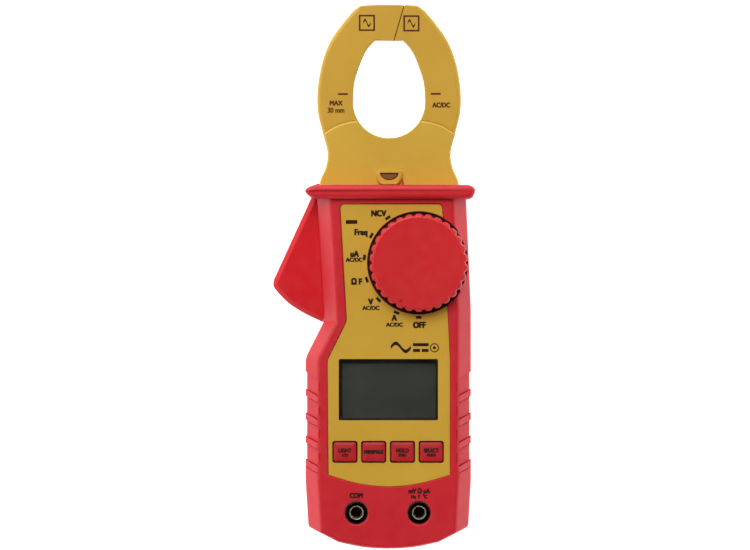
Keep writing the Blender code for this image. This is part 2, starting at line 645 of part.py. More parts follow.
def base_plates():
    middle = (TORCH[0], TORCH[1] - 1.1)
    hood = loft("join_torch_hood", [(circle(middle, 5.6, 24), 25.0), (circle(middle, 5.6, 24), 26.9),
                                    (circle(middle, 4.9, 24), 29.0)])
    cut(hood, prism("cut_hood_top", box_outline(-10.0, TORCH[1] + 0.6, 10.0, 90.0), 26.5, 32.0),
        prism("cut_hood_foot", box_outline(-10.0, 70.0, 10.0, GUARD[1] + GAP), 24.0, 32.0))
    front = prism("jaw_base_front", neck_outline(), *BASE_FRONT, chamfer_top=0.8)
    fuse(front, hood)
    cut(front, prism("cut_torch", torch_outline(), 24.0, 32.0),
        prism("cut_pin_front", circle(PIVOT, PIN_RADIUS + GAP, 16), 23.0, PIN_SPAN[1] + GAP))
    paint(front, YELLOW)
    rear = prism("jaw_base_rear", neck_outline(), *BASE_REAR, chamfer_bottom=0.8)
    cut(rear, prism("cut_pin_rear", circle(PIVOT, PIN_RADIUS + GAP, 16), PIN_SPAN[0] - GAP, 11.0))
    paint(rear, YELLOW)
    pin = turned("jaw_pivot_pin", PIVOT, [(PIN_RADIUS, PIN_SPAN[0]), (PIN_RADIUS, PIN_SPAN[1])], 16)
    paint(pin, STEEL, 0.25, 1.0)


def jaw_shells(prefix, outline, pivot):
    """Front and rear half shell of one arm: a channel for the core, thinner inside the base."""
    channel = inset(outline, ARM_WALL)
    front = loft(f"{prefix}_front_shell", [
        (channel, 22.2), (channel, SEAM + 0.1), (outline, SEAM + 0.1), (outline, ARM[1] - 1.5),
        (inset(outline, 1.2), ARM[1])])
    rear = loft(f"{prefix}_rear_shell", [
        (channel, 11.8), (channel, SEAM - 0.1), (outline, SEAM - 0.1), (outline, ARM[0] + 1.5),
        (inset(outline, 1.2), ARM[0])])
    cut(front, prism(f"cut_{prefix}_front_step", circle(pivot, SEAM_RADIUS + GAP, 48), ROOT[1], 30.0))
    cut(rear, prism(f"cut_{prefix}_rear_step", circle(pivot, SEAM_RADIUS + GAP, 48), 2.0, ROOT[0]))
    return front, rear


def moving_jaw():
    room = box_outline(PIVOT[0] - 6.2, 70.0, PIVOT[0] + 6.2, 80.0)
    tongue_room = prism("cut_tongue_room", room, TONGUE[0] - GAP, TONGUE[1] + GAP)
    pin_hole = prism("cut_jaw_pin", circle(PIVOT, PIN_RADIUS + PIN_FIT, 16), 0.0, 40.0)
    halves = jaw_shells("moving_jaw", moving_outline(), PIVOT)
    for half in halves:
        cut(half, tongue_room, pin_hole)
        paint(half, YELLOW)
    core = prism("moving_jaw_core", ribbon(core_path((-2.9, 89.9), (0.2, 143.6)), 3.1), *CORE)
    coil = sleeve("moving_jaw_coil", coil_path(), COIL_OUTER, COIL_INNER, SEAM)
    return *halves, paint(core, IRON, 0.5, 0.6), paint(coil, COPPER, 0.35, 0.9)


def fixed_jaw():
    pivot = (2 * MIDDLE_X - PIVOT[0], PIVOT[1])
    for half in jaw_shells("fixed_jaw", fixed_outline(), pivot):
        paint(half, YELLOW)
    path = mirrored(core_path((-3.4, 89.9), (-8.4, 142.6)))
    paint(prism("fixed_jaw_core", ribbon(path, 3.1), *CORE), IRON, 0.5, 0.6)
    coil = sleeve("fixed_jaw_coil", mirrored(coil_path()), COIL_OUTER, COIL_INNER, SEAM)
    paint(coil, COPPER, 0.35, 0.9)


def trigger():
    """Hollow lever: finger surface, two side plates, and a tongue around the pivot pin."""
    lever = prism("trigger", trigger_outline(), *ROOT, chamfer_top=1.2, chamfer_bottom=1.2)
    room = [(-31.2, 65.0), (-45.6, 36.2), (-45.6, 34.2), (-40.6, 28.0), (-33.6, 23.8), (-24.0, 20.0),
            (-12.0, 20.0), (-12.0, 65.0)]
    cut(lever, prism("cut_lever_hollow", room, ROOT[0] + LEVER_WALL, ROOT[1] - LEVER_WALL))
    neck = box_outline(PIVOT[0] - 4.6, 70.8, PIVOT[0] + 4.6, 79.0)
    fuse(lever, prism("join_tongue", circle(PIVOT, 5.2, 24), *TONGUE),
         prism("join_tongue_neck", neck, *TONGUE))
    cut(lever, prism("cut_tongue", circle(PIVOT, PIN_RADIUS + PIN_FIT, 16), *ROOT))
    return paint(lever, RED)


def jaw_spring():
    """Torsion spring around the pin, its two legs reaching into the arm."""
    wire, radius, low, pitch = 0.35, 3.3, 12.3, 0.75
    turns, steps = 2.5, 12
    points = [(PIVOT[0] + 2.0, PIVOT[1] + radius + 2.0, low)]
    for i in range(int(turns * steps) + 1):
        angle = math.tau * i / steps + math.pi / 2
        points.append((PIVOT[0] + radius * math.cos(angle), PIVOT[1] + radius * math.sin(angle),
                       low + pitch * i / steps))
    points.append((PIVOT[0] + 4.0, PIVOT[1] - radius, points[-1][2]))
    curve = bpy.data.curves.new("jaw_spring", "CURVE")
    curve.dimensions = "3D"
    curve.bevel_depth = wire * MM
    curve.bevel_resolution = 1
    curve.use_fill_caps = True
    spline = curve.splines.new("POLY")
    spline.points.add(len(points) - 1)
    for point, (x, y, z) in zip(spline.points, points):
        point.co = (x * MM, y * MM, z * MM, 1.0)
    spring = bpy.data.objects.new("jaw_spring", curve)
    bpy.context.scene.collection.objects.link(spring)
    colour_in(spring, STEEL, 0.3, 1.0)
    return spring


# ---------------------------------------------------------------- inside the case

def main_board():
    outline = [(-30.6, -50.0), (30.5, -50.0), (30.5, 20.0), (28.5, 67.0), (-24.5, 67.0),
               (-22.4, 19.5), (-30.6, 0.0)]
    board = prism("main_board", outline, *BOARD)
    cut(board, prism("cut_board_shaft", circle(KNOB, SHAFT_HOLE, 20), *THROUGH_FACE))
    for i, centre in enumerate(SCREWS[:2]):
        cut(board, prism(f"cut_board_pillar_{i}", circle(centre, POST_RADIUS + 0.5, 16), *THROUGH_FACE))
    profile = [(2.0, 24.6), (2.0, UNDER_BOARD), (0.9, UNDER_BOARD + 0.05), (0.9, 30.2)]
    for i, centre in enumerate(BOARD_SCREWS):
        cut(board, prism(f"cut_board_hole_{i}", circle(centre, BOARD_SHANK_HOLE + 0.1, 10), *THROUGH_FACE))
        paint(turned(f"board_screw_{i + 1}", centre, profile, 12), STEEL, 0.3, 1.0)
    paint(board, GREEN, 0.4)
    chip = prism("measuring_chip", box_outline(-9.0, 7.0, 3.0, 19.0), ON_BOARD, 29.3)
    paint(chip, BLACK, 0.5)
    paint(turned("buzzer", (21.0, 12.0), [(6.0, 22.6), (6.0, UNDER_BOARD)]), BLACK, 0.5)


def batteries():
    """Two cells side by side, the second the other way round, between three sheet contacts."""
    low, high = CELL_SPAN
    profile = [(CELL_RADIUS, 0.0), (CELL_RADIUS, 49.0), (2.7, 49.05), (2.7, 50.2)]
    starts = ((CELL_CENTRES[0], low, 1), (CELL_CENTRES[1], high, -1))
    for i, (x, y, way) in enumerate(starts):
        cell = turned(f"battery_{i + 1}", (0.0, 0.0), profile)
        cell.rotation_euler = (-way * math.pi / 2, 0.0, 0.0)
        cell.location = (x * MM, y * MM, CELL_HEIGHT * MM)
        paint(cell, (0.08, 0.08, 0.09), 0.35)
    link = prism("battery_link", box_outline(-15.2, low - 1.4, 15.2, low - 0.8), 5.0, 16.0)
    paint(link, STEEL, 0.3, 1.0)
    for name, x in zip(("battery_contact_plus", "battery_contact_minus"), CELL_CENTRES):
        plate = prism(name, box_outline(x - 5.0, high + 0.8, x + 5.0, high + 1.4), 5.0, 22.0)
        paint(plate, STEEL, 0.3, 1.0)


def build():
    for obj in list(bpy.data.objects):
        bpy.data.objects.remove(obj, do_unlink=True)
    passage, lever_slot = passage_cutters()
    front_cover(passage, lever_slot)
    rear_cover(passage, lever_slot)
    face_panel()
    battery_door()
    case_screws()
    keys()
    display()
    sockets()
    hang("selector_axis", (*KNOB, KNOB_TOP), knob(), *selector_inside())
    indicator_and_torch()
    base_plates()
    hang("jaw_axis", (*PIVOT, SEAM), *moving_jaw(), trigger(), jaw_spring())
    fixed_jaw()
    main_board()
    batteries()


build()
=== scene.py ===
"""Looks of the clamp meter: fine outer pieces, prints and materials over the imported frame.

Outlines are in millimetres in the frame of the part: X to the right, Y towards the jaw, Z out of
the face. skin() turns them into metres.
"""
import json
import math

import bmesh
import bpy
from mathutils import Matrix, Vector

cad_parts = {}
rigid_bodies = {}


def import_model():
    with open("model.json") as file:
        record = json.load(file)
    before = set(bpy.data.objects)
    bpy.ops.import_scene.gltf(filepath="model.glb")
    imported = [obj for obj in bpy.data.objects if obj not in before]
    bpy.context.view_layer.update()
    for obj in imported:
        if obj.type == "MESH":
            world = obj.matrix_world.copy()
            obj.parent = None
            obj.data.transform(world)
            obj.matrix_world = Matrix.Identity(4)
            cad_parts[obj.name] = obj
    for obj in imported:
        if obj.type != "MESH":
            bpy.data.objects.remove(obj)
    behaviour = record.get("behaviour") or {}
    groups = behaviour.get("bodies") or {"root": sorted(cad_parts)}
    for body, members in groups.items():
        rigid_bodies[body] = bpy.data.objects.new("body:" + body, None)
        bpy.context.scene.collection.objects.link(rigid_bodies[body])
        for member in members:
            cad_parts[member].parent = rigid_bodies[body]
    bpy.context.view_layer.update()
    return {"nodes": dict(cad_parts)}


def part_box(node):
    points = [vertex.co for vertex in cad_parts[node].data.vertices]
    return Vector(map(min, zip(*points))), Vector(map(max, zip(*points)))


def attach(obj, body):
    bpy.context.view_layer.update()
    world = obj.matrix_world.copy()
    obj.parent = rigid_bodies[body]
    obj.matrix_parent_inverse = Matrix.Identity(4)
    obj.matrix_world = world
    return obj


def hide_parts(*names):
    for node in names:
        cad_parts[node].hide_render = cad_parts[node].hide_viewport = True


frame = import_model()
NODES = frame["nodes"]
MM = 0.001


def node_box(name):
    """Lowest and highest corner of a CAD node, in millimetres."""
    low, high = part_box(name)
    return [v / MM for v in low], [v / MM for v in high]


def middle(name):
    low, high = node_box(name)
    return (low[0] + high[0]) / 2, (low[1] + high[1]) / 2


def span(name):
    """Lowest and highest Z of a CAD node."""
    low, high = node_box(name)
    return low[2], high[2]


# Heights and centres that the frame settles
SEAM_HALF = 0.15               # half the line between the covers
CASE_LOW, GUARD_HEIGHT = span("rear_cover")[0], span("front_cover")[1]
SEAM = span("front_cover")[0] - SEAM_HALF
FACE = GUARD_HEIGHT - 3.0
PANEL_LOW, PANEL_TOP = span("face_panel")
KNOB = middle("selector_knob")[0], middle("selector_rotor")[1]
KNOB_LOW = 32.4
KNOB_TOP = span("selector_knob")[1]
PIVOT = middle("jaw_pivot_pin")
ARM = (span("moving_jaw_rear_shell")[0], span("moving_jaw_front_shell")[1])
BASE_FRONT_LOW = span("jaw_base_front")[0]
BASE_REAR = span("jaw_base_rear")
BASE_FRONT = (BASE_FRONT_LOW, BASE_FRONT_LOW + BASE_REAR[1] - BASE_REAR[0])
TRIGGER_SPAN = span("trigger")
KEYS = ("key_torch", "key_min_max", "key_hold", "key_select")
KEY_SIZE = (9.4, 8.0)
KEY_GAP = 0.6
SOCKETS = (("com", middle("socket_contact_com")), ("input", middle("socket_contact_input")))
CASE_SCREWS = ("case_screw_1", "case_screw_2", "case_screw_3", "case_screw_4")
BOARD_SCREWS = ("board_screw_1", "board_screw_2")

# Sizes of the outer form
CASE_TOP = 72.0
MIDDLE_X = 0.3
HOLE = (0.3, 110.9)
HOLE_RADIUS = 15.1
HOLE_TOP = 136.8
SPLIT_TOP = 151.6
SEAM_RADIUS = 22.5
LEVER_SWEEP = 63.8
WELL_RADIUS = 21.4
NOTCHES = 30
POINTER_ANGLE = 245.0
WALL = 2.2
LEAST_LIFT = 0.005             # keeps rounded lower edges just clear of the floor
KEY_CORNER = 1.2
DISPLAY_HOLE = (-20.8, -22.7, 20.8, 3.0, 0.8)
INDICATOR_HALF = (2.4, 0.8)
DOOR_LOW = -52.0
DOOR_GAP = 0.3
DOOR_THICKNESS = 1.9
PILLAR_RADIUS = 3.3
SHANK_HOLE = 1.75
PIN_SEAT = 2.3
PIN_HOLE = 2.06
PASSAGE_GAP = 0.3              # room above and below what passes through the covers
GRIP_DEPTH = 0.6
GRIP_SLOPE = 0.55
GRIP_POCKETS = ((-2.3, -9.7), (-12.6, -19.7), (-22.5, -29.4), (-32.2, -39.3))


# ------------ outlines

def arc(centre, radius, start, end, steps):
    angles = [math.radians(start + (end - start) * i / steps) for i in range(steps + 1)]
    return [(centre[0] + radius * math.cos(a), centre[1] + radius * math.sin(a)) for a in angles]


def circle(centre, radius, steps=64):
    return arc(centre, radius, 0, 360, steps)[:-1]


def smooth(points, steps):
    """A smooth curve through the points (Catmull-Rom), both ends included."""
    ends = [points[0]] + list(points) + [points[-1]]
    path = []
    for p0, p1, p2, p3 in zip(ends, ends[1:], ends[2:], ends[3:]):
        for i in range(steps):
            t = i / steps
            path.append(tuple(
                0.5 * (2 * b + (c - a) * t + (2 * a - 5 * b + 4 * c - d) * t ** 2
                       + (3 * b - a - 3 * c + d) * t ** 3)
                for a, b, c, d in zip(p0, p1, p2, p3)))
    return path + [points[-1]]


def straight(a, b, steps):
    """Points from a up to, but not including, b."""
    return [(a[0] + (b[0] - a[0]) * i / steps, a[1] + (b[1] - a[1]) * i / steps)
            for i in range(steps)]


def mirrored(points):
    return [(2 * MIDDLE_X - x, y) for x, y in reversed(points)]


def inset(outline, distance, weights=None):
    """An anticlockwise outline moved inwards, or outwards when the distance is negative.

    Weights, one for each point, scale the distance along the way.
    """
    moved = []
    weights = weights or [1.0] * len(outline)
    neighbours = zip(outline[-1:] + outline[:-1], outline, outline[1:] + outline[:1], weights)
    for before, here, after, weight in neighbours:
        normals = []
        for a, b in ((before, here), (here, after)):
            length = math.hypot(b[0] - a[0], b[1] - a[1])
            normals.append(((a[1] - b[1]) / length, (b[0] - a[0]) / length))
        (ux, uy), (vx, vy) = normals
        reach = distance * weight / max(1 + ux * vx + uy * vy, 0.4)
        moved.append((here[0] + (ux + vx) * reach, here[1] + (uy + vy) * reach))
    return moved


def fillet(a, b, c, radius, steps=8):
    """Points that round off corner b of the corner a-b-c."""
    into = (b[0] - a[0], b[1] - a[1])
    out = (c[0] - b[0], c[1] - b[1])
    into_length, out_length = math.hypot(*into), math.hypot(*out)
    turn = math.atan2(into[0] * out[1] - into[1] * out[0], into[0] * out[0] + into[1] * out[1])
    reach = min(radius * abs(math.tan(turn / 2)), 0.45 * into_length, 0.45 * out_length)
    points = []
    for i in range(steps + 1):
        t = i / steps
        back, ahead = (1 - t) ** 2 * reach / into_length, t ** 2 * reach / out_length
        points.append((b[0] - into[0] * back + out[0] * ahead,
                       b[1] - into[1] * back + out[1] * ahead))
    return points


def rounded(corners, radius):
    outline = []
    for a, b, c in zip(corners[-1:] + corners[:-1], corners, corners[1:] + corners[:1]):
        outline += fillet(a, b, c, radius, 6)
    return outline


def box_outline(low_x, low_y, high_x, high_y, radius=0.0):
    corners = [(low_x, low_y), (high_x, low_y), (high_x, high_y), (low_x, high_y)]
    return rounded(corners, radius) if radius else corners


def box_round(x, y, half_x, half_y, radius=0.0):
    """A box outline by its centre and its half sizes."""
    return box_outline(x - half_x, y - half_y, x + half_x, y + half_y, radius)


def key_outline(x, y, grow, radius):
    return box_round(x, y, KEY_SIZE[0] / 2 + grow, KEY_SIZE[1] / 2 + grow, radius)


def case_outline(side, bottom, top=CASE_TOP):
    """The case from the front: sides moved in by `side`, lower end up by `bottom`."""
    corner_y = -67.4 - 0.516 * side        # the corners slide along the slanting lower edges
    foot = smooth([(-21.0, -73.9), (-10.5, -76.0), (0.0, -76.6), (10.5, -76.0), (21.0, -73.9)], 8)
    right = [(21.0, -73.9)] + [(x - side, y) for x, y in (
        (33.6, corner_y), (34.7, -48.0), (34.7, 24.0), (32.6, top))]
    left = [(x + side, y) for x, y in (
        (-30.0, top), (-26.9, 19.0), (-34.8, 3.5), (-34.8, -48.0), (-33.6, corner_y))] + [(-21.0, -73.9)]
    outline = foot[:-1] + fillet(foot[-2], right[0], right[1], 4.0)
    for corner, radius in zip(range(1, 4), (2.0, 60.0, 60.0)):
        outline += fillet(*right[corner - 1:corner + 2], radius)
    outline += straight(right[4], left[0], 6) + [left[0]]
    for corner, radius in zip(range(1, 5), (1.0, 9.0, 60.0, 2.0)):
        outline += fillet(*left[corner - 1:corner + 2], radius)
    return [(x, y + bottom if y < -60 else y) for x, y in outline]


def panel_outline(edge):
    """The recessed face panel moved in by `edge`, its left side following the waist of the case."""
    foot = smooth([(-24.9, -45.4), (-12.5, -48.9), (0.3, -50.2), (12.8, -48.9), (25.6, -45.4)], 8)
    corners = [(25.6, -20.0), (25.6, 2.5), (22.9, 60.0)]
    top = arc((20.8, 66.1), 1.5, 5, 90, 6) + arc((-18.4, 66.1), 1.5, 90, 175, 6)
    head, waist, hip, side = (-19.9, 66.0), (-17.2, 18.8), (-25.3, 2.4), (-25.3, -30.0)
    left = fillet(head, waist, hip, 6.0) + fillet(waist, hip, side, 5.0)
    return inset(foot + corners + top + left, edge)


def neck_outline():
    """The jaw base and how much each of its edges is rounded.

    Flared foot in the guard, arcs over the arms, round end of the opening.
    """
    foot = [(MIDDLE_X, CASE_TOP - 1.0), (29.6, CASE_TOP - 1.0)]
    flank = smooth([(29.6, 76.4), (28.7, 79.4), (26.7, 84.0), (26.0, 90.0), (27.6, 96.8)], 8)
    seam = arc((2 * MIDDLE_X - PIVOT[0], PIVOT[1]), SEAM_RADIUS, 49, 86, 14)
    half_hole = arc(HOLE, HOLE_RADIUS + 0.1, -31, -90, 18)
    outline = foot + flank + seam + half_hole
    weights = [0.0] * len(foot) + [0.8] * len(flank) + [1.0] * len(seam) + [0.35] * len(half_hole)
    return outline + mirrored(outline[1:-1]), weights + weights[-2:0:-1]


def arm_outer():
    """Outer edge of the moving half, from its tip down into the jaw base."""
    crown = smooth([(-1.0, 152.0), (-6.0, 151.9), (-11.6, 151.5)], 4)
    flank = smooth([(-14.0, 150.2), (-19.5, 143.6), (-24.3, 136.6), (-27.7, 128.0), (-29.7, 117.0),
                    (-29.7, 107.0), (-27.6, 98.0), (-25.6, 90.0), (-26.2, 84.0), (-28.0, 79.6)], 7)
    return crown[:-1] + fillet(crown[-2], crown[-1], flank[1], 4.0, 5) + flank[1:]


def opening_side():
    """Left edge of the jaw opening, from the lowest point up to the flat top."""
    bowl = arc(HOLE, HOLE_RADIUS, -93.2, -180, 26)
    flank = smooth([(-14.8, 110.9), (-14.4, 118.4), (-12.9, 124.0), (-10.8, 129.6), (-8.6, 133.6),
                    (-5.6, HOLE_TOP)], 6)
    return bowl + flank[1:]


def split_x(y, gap):
    """X of one face of the slanting joint at the jaw's tip; gap is negative on the moving side."""
    return 2.35 + (y - HOLE_TOP) * 0.295 + gap


def moving_outline(gap):
    """The moving half of the jaw and how much each of its edges is rounded."""
    outer = arm_outer()
    root = arc(PIVOT, 7.6, -150, -12, 16) + [(-0.55, 84.5)]
    opening = opening_side()
    tip = [(split_x(HOLE_TOP, -gap), HOLE_TOP), (split_x(SPLIT_TOP, -gap), SPLIT_TOP)]
    weights = [1.0 if y < 150.0 else 0.4 for _, y in outer] + [0.0] * len(root)
    return outer + root + opening + tip, weights + [0.3] * len(opening) + [0.0] * len(tip)


def fixed_outline(gap):
    """The fixed half of the jaw and how much each of its edges is rounded."""
    outer = [point for point in mirrored(arm_outer()) if point[0] > 8.0]
    root = [(-0.15, 84.5), (0.6, 77.4), (28.4, 77.4)]
    tip = [(split_x(SPLIT_TOP, gap), SPLIT_TOP), (split_x(HOLE_TOP, gap), HOLE_TOP)]
    opening = mirrored(opening_side())[:-1]
    low = [(-0.15, HOLE[1] - HOLE_RADIUS)]
    weights = [0.0] * len(root) + [1.0 if y < 150.0 else 0.4 for _, y in outer] + [0.0] * len(tip)
    return root + outer + tip + opening + low, weights + [0.3] * len(opening) + [0.0]


def trigger_outline():
    """Lever with its share of the finger guard, and how much each of its edges is sloped.

    Anticlockwise from the guard's top edge; the part inside the case stays square.
    """
    guard_end = smooth([(-29.9, 76.6), (-33.6, 75.2), (-34.9, 73.7), (-34.3, 72.2), (-32.4, 70.7)], 3)
    edge = smooth([(-48.1, 36.4), (-48.4, 34.2), (-47.4, 32.0), (-42.0, 26.4), (-34.9, 21.9),
                   (-27.9, 18.6)], 4)
    sweep = arc(PIVOT, LEVER_SWEEP, -103.2, -100, 3)
    inner = [(-22.5, 30.0), (-23.0, 60.0), (-16.0, 69.0), (-8.0, 70.6)]
    shoulder = arc(PIVOT, 8.3, -56, -148, 12)
    hidden = sweep + inner + shoulder + [(-21.0, 76.2)]
    weights = [0.0] + [0.25] * (len(guard_end) - 2) + [1.0] * (len(edge) + 1) + [0.0] * len(hidden)
    return guard_end + edge + hidden, weights


def guard_outline():
    """The finger guard from the front: a bar with rounded ends that stands out at both sides."""
    right = smooth([(33.4, 70.1), (35.2, 70.7), (36.4, 73.4), (35.6, 75.1), (33.6, 76.0)], 5)
    left = smooth([(-30.2, 76.0), (-33.6, 75.0), (-34.9, 73.6), (-34.3, 72.2), (-32.0, 70.5),
                   (-30.5, 70.1)], 5)
    return right + left


def torch_outline(edge=0.0):
    """A flattened half circle, flat side up."""
    x0, y0, flattening = 0.4, 81.1, 0.8
    bowl = [(x, y0 + (y - y0) * flattening) for x, y in arc((x0, y0), 3.9, 180, 360, 20)]
    return inset(bowl, edge)


# ------------ meshes

def place(name, data):
    obj = bpy.data.objects.new(name, data)
    bpy.context.scene.collection.objects.link(obj)
    return obj


def make(name, bm):
    bmesh.ops.recalc_face_normals(bm, faces=bm.faces)
    mesh = bpy.data.meshes.new(name)
    bm.to_mesh(mesh)
    bm.free()
    return place(name, mesh)


def evaluated_mesh(obj):
    """A new mesh of the object with its modifiers or its text applied."""
    depsgraph = bpy.context.evaluated_depsgraph_get()
    return bpy.data.meshes.new_from_object(obj.evaluated_get(depsgraph))


def skin(name, rings, closed=False):
    """A solid skinned over outlines of equal length, each (outline, height).

    The first and last rings are capped, or joined to each other when closed.
    """
    bm = bmesh.new()
    loops = [[bm.verts.new((x * MM, y * MM, z * MM)) for x, y in outline] for outline, z in rings]
    pairs = list(zip(loops, loops[1:]))
    if closed:
        pairs.append((loops[-1], loops[0]))
    else:
        bm.faces.new(loops[0][::-1])
        bm.faces.new(loops[-1])
    for low, high in pairs:
        for i in range(len(low)):
            j = (i + 1) % len(low)
            bm.faces.new((low[i], low[j], high[j], high[i]))
    return make(name, bm)


def edge_rings(outline, low, high, low_radius, high_radius, steps=5, weights=None):
    """Rings of a slab whose lower and upper edges are rounded."""
    rings = []
    for i in range(steps + 1 if low_radius else 1):
        a = math.pi / 2 * i / steps if low_radius else math.pi / 2
        rings.append((inset(outline, low_radius * (1 - math.sin(a)), weights),
                      low + low_radius * (1 - math.cos(a))))
    for i in range(steps + 1 if high_radius else 1):
        a = math.pi / 2 * i / steps if high_radius else 0.0
        rings.append((inset(outline, high_radius * (1 - math.cos(a)), weights),
                      high - high_radius * (1 - math.sin(a))))
    return rings


def slab(name, outline, low, high, low_radius=0.0, high_radius=0.0, weights=None):
    return skin(name, edge_rings(outline, low, high, low_radius, high_radius, 5, weights))


def joined(name, parts):
    """One mesh from several parts that don't touch."""
    bm = bmesh.new()
    for part in parts:
        bm.from_mesh(part.data)
        bpy.data.objects.remove(part, do_unlink=True)
    return make(name, bm)


def turned(name, centre, profile, steps, closed=True):
    """A solid of revolution; the profile holds (radius, height) points."""
    return skin(name, [(circle(centre, radius, steps), z) for radius, z in profile], closed)


def boolean(target, operation, *tools):
    """Apply the tools to the target one after another and remove them."""
    for tool in tools:
        modifier = target.modifiers.new("tool", "BOOLEAN")
        modifier.operation = operation
        modifier.object = tool
        mesh = evaluated_mesh(target)
        if not mesh.polygons:
            raise RuntimeError(f"{operation} of {target.name} with {tool.name} left nothing")
        target.modifiers.remove(modifier)
        old = target.data
        target.data = mesh
        bpy.data.meshes.remove(old)
        bpy.data.objects.remove(tool, do_unlink=True)


def cut(target, *tools):
    boolean(target, "DIFFERENCE", *tools)


def fuse(target, *tools):
    boolean(target, "UNION", *tools)


def finish_piece(obj, material, body, stands_for=(), bevel=0.0, angle=32):
    """Shade, round the sharp edges, paint and hang the piece on its body."""
    obj.data.validate()
    obj.data.materials.clear()
    obj.data.materials.append(material)
    for polygon in obj.data.polygons:
        polygon.material_index = 0
    obj.data.shade_smooth()
    obj.data.set_sharp_from_angle(angle=math.radians(angle))
    if bevel:
        modifier = obj.modifiers.new("edge", "BEVEL")
        modifier.width = bevel * MM
        modifier.segments = 3
        modifier.limit_method = "ANGLE"
        modifier.angle_limit = math.radians(38)
    normals = obj.modifiers.new("normals", "WEIGHTED_NORMAL")
    normals.keep_sharp = True
    if stands_for:
        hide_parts(*stands_for)
    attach(obj, body)


# ------------ materials

def settle(node, values):
    """Set sockets of a shader node directly."""
    for socket, value in values.items():
        node.inputs[socket].default_value = value


def new_material(name, colour, roughness, metallic=0.0):
    material = bpy.data.materials.new(name)
    material.use_nodes = True
    shader = material.node_tree.nodes["Principled BSDF"]
    settle(shader, {"Base Color": (*colour, 1.0), "Roughness": roughness, "Metallic": metallic})
    return material, shader


def texture(shader, kind, values, stretch=None):
    """A texture node in object space, in the node tree of the shader."""
    nodes, links = shader.id_data.nodes, shader.id_data.links
    node = nodes.new(kind)
    settle(node, values)
    source = nodes.new("ShaderNodeTexCoord").outputs["Object"]
    if stretch:
        mapping = nodes.new("ShaderNodeMapping")
        settle(mapping, {"Scale": stretch})
        links.new(source, mapping.inputs["Vector"])
        source = mapping.outputs["Vector"]
    links.new(source, node.inputs["Vector"])
    return node


def noise(shader, scale, detail, stretch=None):
    """Noise whose features are about 1/scale metres."""
    node = texture(shader, "ShaderNodeTexNoise", {"Scale": scale, "Detail": detail}, stretch)
    return node.outputs["Fac"]


def vary_gloss(shader, source, low, high):
    """Roughness from low to high over the middle of the source's range."""
    tree = shader.id_data
    node = tree.nodes.new("ShaderNodeMapRange")
    settle(node, {"From Min": 0.3, "From Max": 0.7, "To Min": low, "To Max": high})
    tree.links.new(source, node.inputs["Value"])
    tree.links.new(node.outputs["Result"], shader.inputs["Roughness"])


def vary_colour(shader, source, dark, light):
    """Base colour from dark to light over the middle of the source's range."""
    tree = shader.id_data
    ramp = tree.nodes.new("ShaderNodeValToRGB")
    for element, position, colour in zip(ramp.color_ramp.elements, (0.32, 0.68), (dark, light)):
        element.position = position
        element.color = (*colour, 1.0)
    tree.links.new(source, ramp.inputs["Fac"])
    tree.links.new(ramp.outputs["Color"], shader.inputs["Base Color"])


def shade(colour, factor):
    return tuple(min(channel * factor, 1.0) for channel in colour)


def add_bump(shader, layers):
    """Chain bump nodes; each layer is (height source, strength, distance in millimetres)."""
    tree = shader.id_data
    last = None
    for source, strength, distance in layers:
        bump = tree.nodes.new("ShaderNodeBump")
        settle(bump, {"Strength": strength, "Distance": distance * MM})
        tree.links.new(source, bump.inputs["Height"])
        if last:
            tree.links.new(last, bump.inputs["Normal"])
        last = bump.outputs["Normal"]
    tree.links.new(last, shader.inputs["Normal"])


def moulded(name, colour, roughness, grain, wear=0.05):
    """Injection-moulded plastic: spark-eroded grain, faint flow marks, uneven gloss."""
    material, shader = new_material(name, colour, roughness)
    vary_colour(shader, noise(shader, 28.0, 4.0), shade(colour, 1 - wear), shade(colour, 1 + wear))
    fine = noise(shader, 2600.0, 2.0)
    flow = noise(shader, 220.0, 3.0)
    vary_gloss(shader, flow, roughness - 0.05, roughness + 0.07)
    add_bump(shader, [(flow, 0.12, 0.05), (fine, grain, 0.05)])
    settle(shader, {"Specular IOR Level": 0.35, "Subsurface Weight": 0.04, "Subsurface Scale": 0.0012,
                    "Subsurface Radius": (1.0, 0.35, 0.2)})
    return material


def printed(name, colour):
    """Pad-printed ink: dull, slightly uneven."""
    material, shader = new_material(name, colour, 0.6)
    settle(shader, {"Specular IOR Level": 0.15})
    speck = noise(shader, 1500.0, 3.0)
    vary_colour(shader, speck, shade(colour, 0.7), shade(colour, 1.6))
    add_bump(shader, [(speck, 0.2, 0.01)])
    return material


def metal(name, colour, roughness, stretch=(1.0, 1.0, 30.0), scale=600.0):
    """Turned or drawn metal with fine tool marks."""
    material, shader = new_material(name, colour, roughness, 1.0)
    marks = noise(shader, scale, 4.0, stretch)
    vary_gloss(shader, marks, roughness * 0.7, roughness * 1.4)
    vary_colour(shader, marks, shade(colour, 0.85), shade(colour, 1.08))
    add_bump(shader, [(marks, 0.15, 0.02)])
    return material


def display_glass():
    """Unlit display: dark grey-green, with the faint cloudiness of the polariser."""
    material, shader = new_material("display_glass", (0.045, 0.05, 0.037), 0.3)
    vary_colour(shader, noise(shader, 55.0, 2.0), (0.036, 0.038, 0.03), (0.05, 0.056, 0.042))
    add_bump(shader, [(noise(shader, 1800.0, 2.0), 0.05, 0.01)])
    return material


def clear_window():
    """Thin clear plastic with a faint smear."""
    material, shader = new_material("clear_window", (0.93, 0.95, 0.93), 0.03)
    settle(shader, {"Transmission Weight": 1.0, "IOR": 1.1})
    vary_gloss(shader, noise(shader, 120.0, 3.0), 0.02, 0.06)
    return material


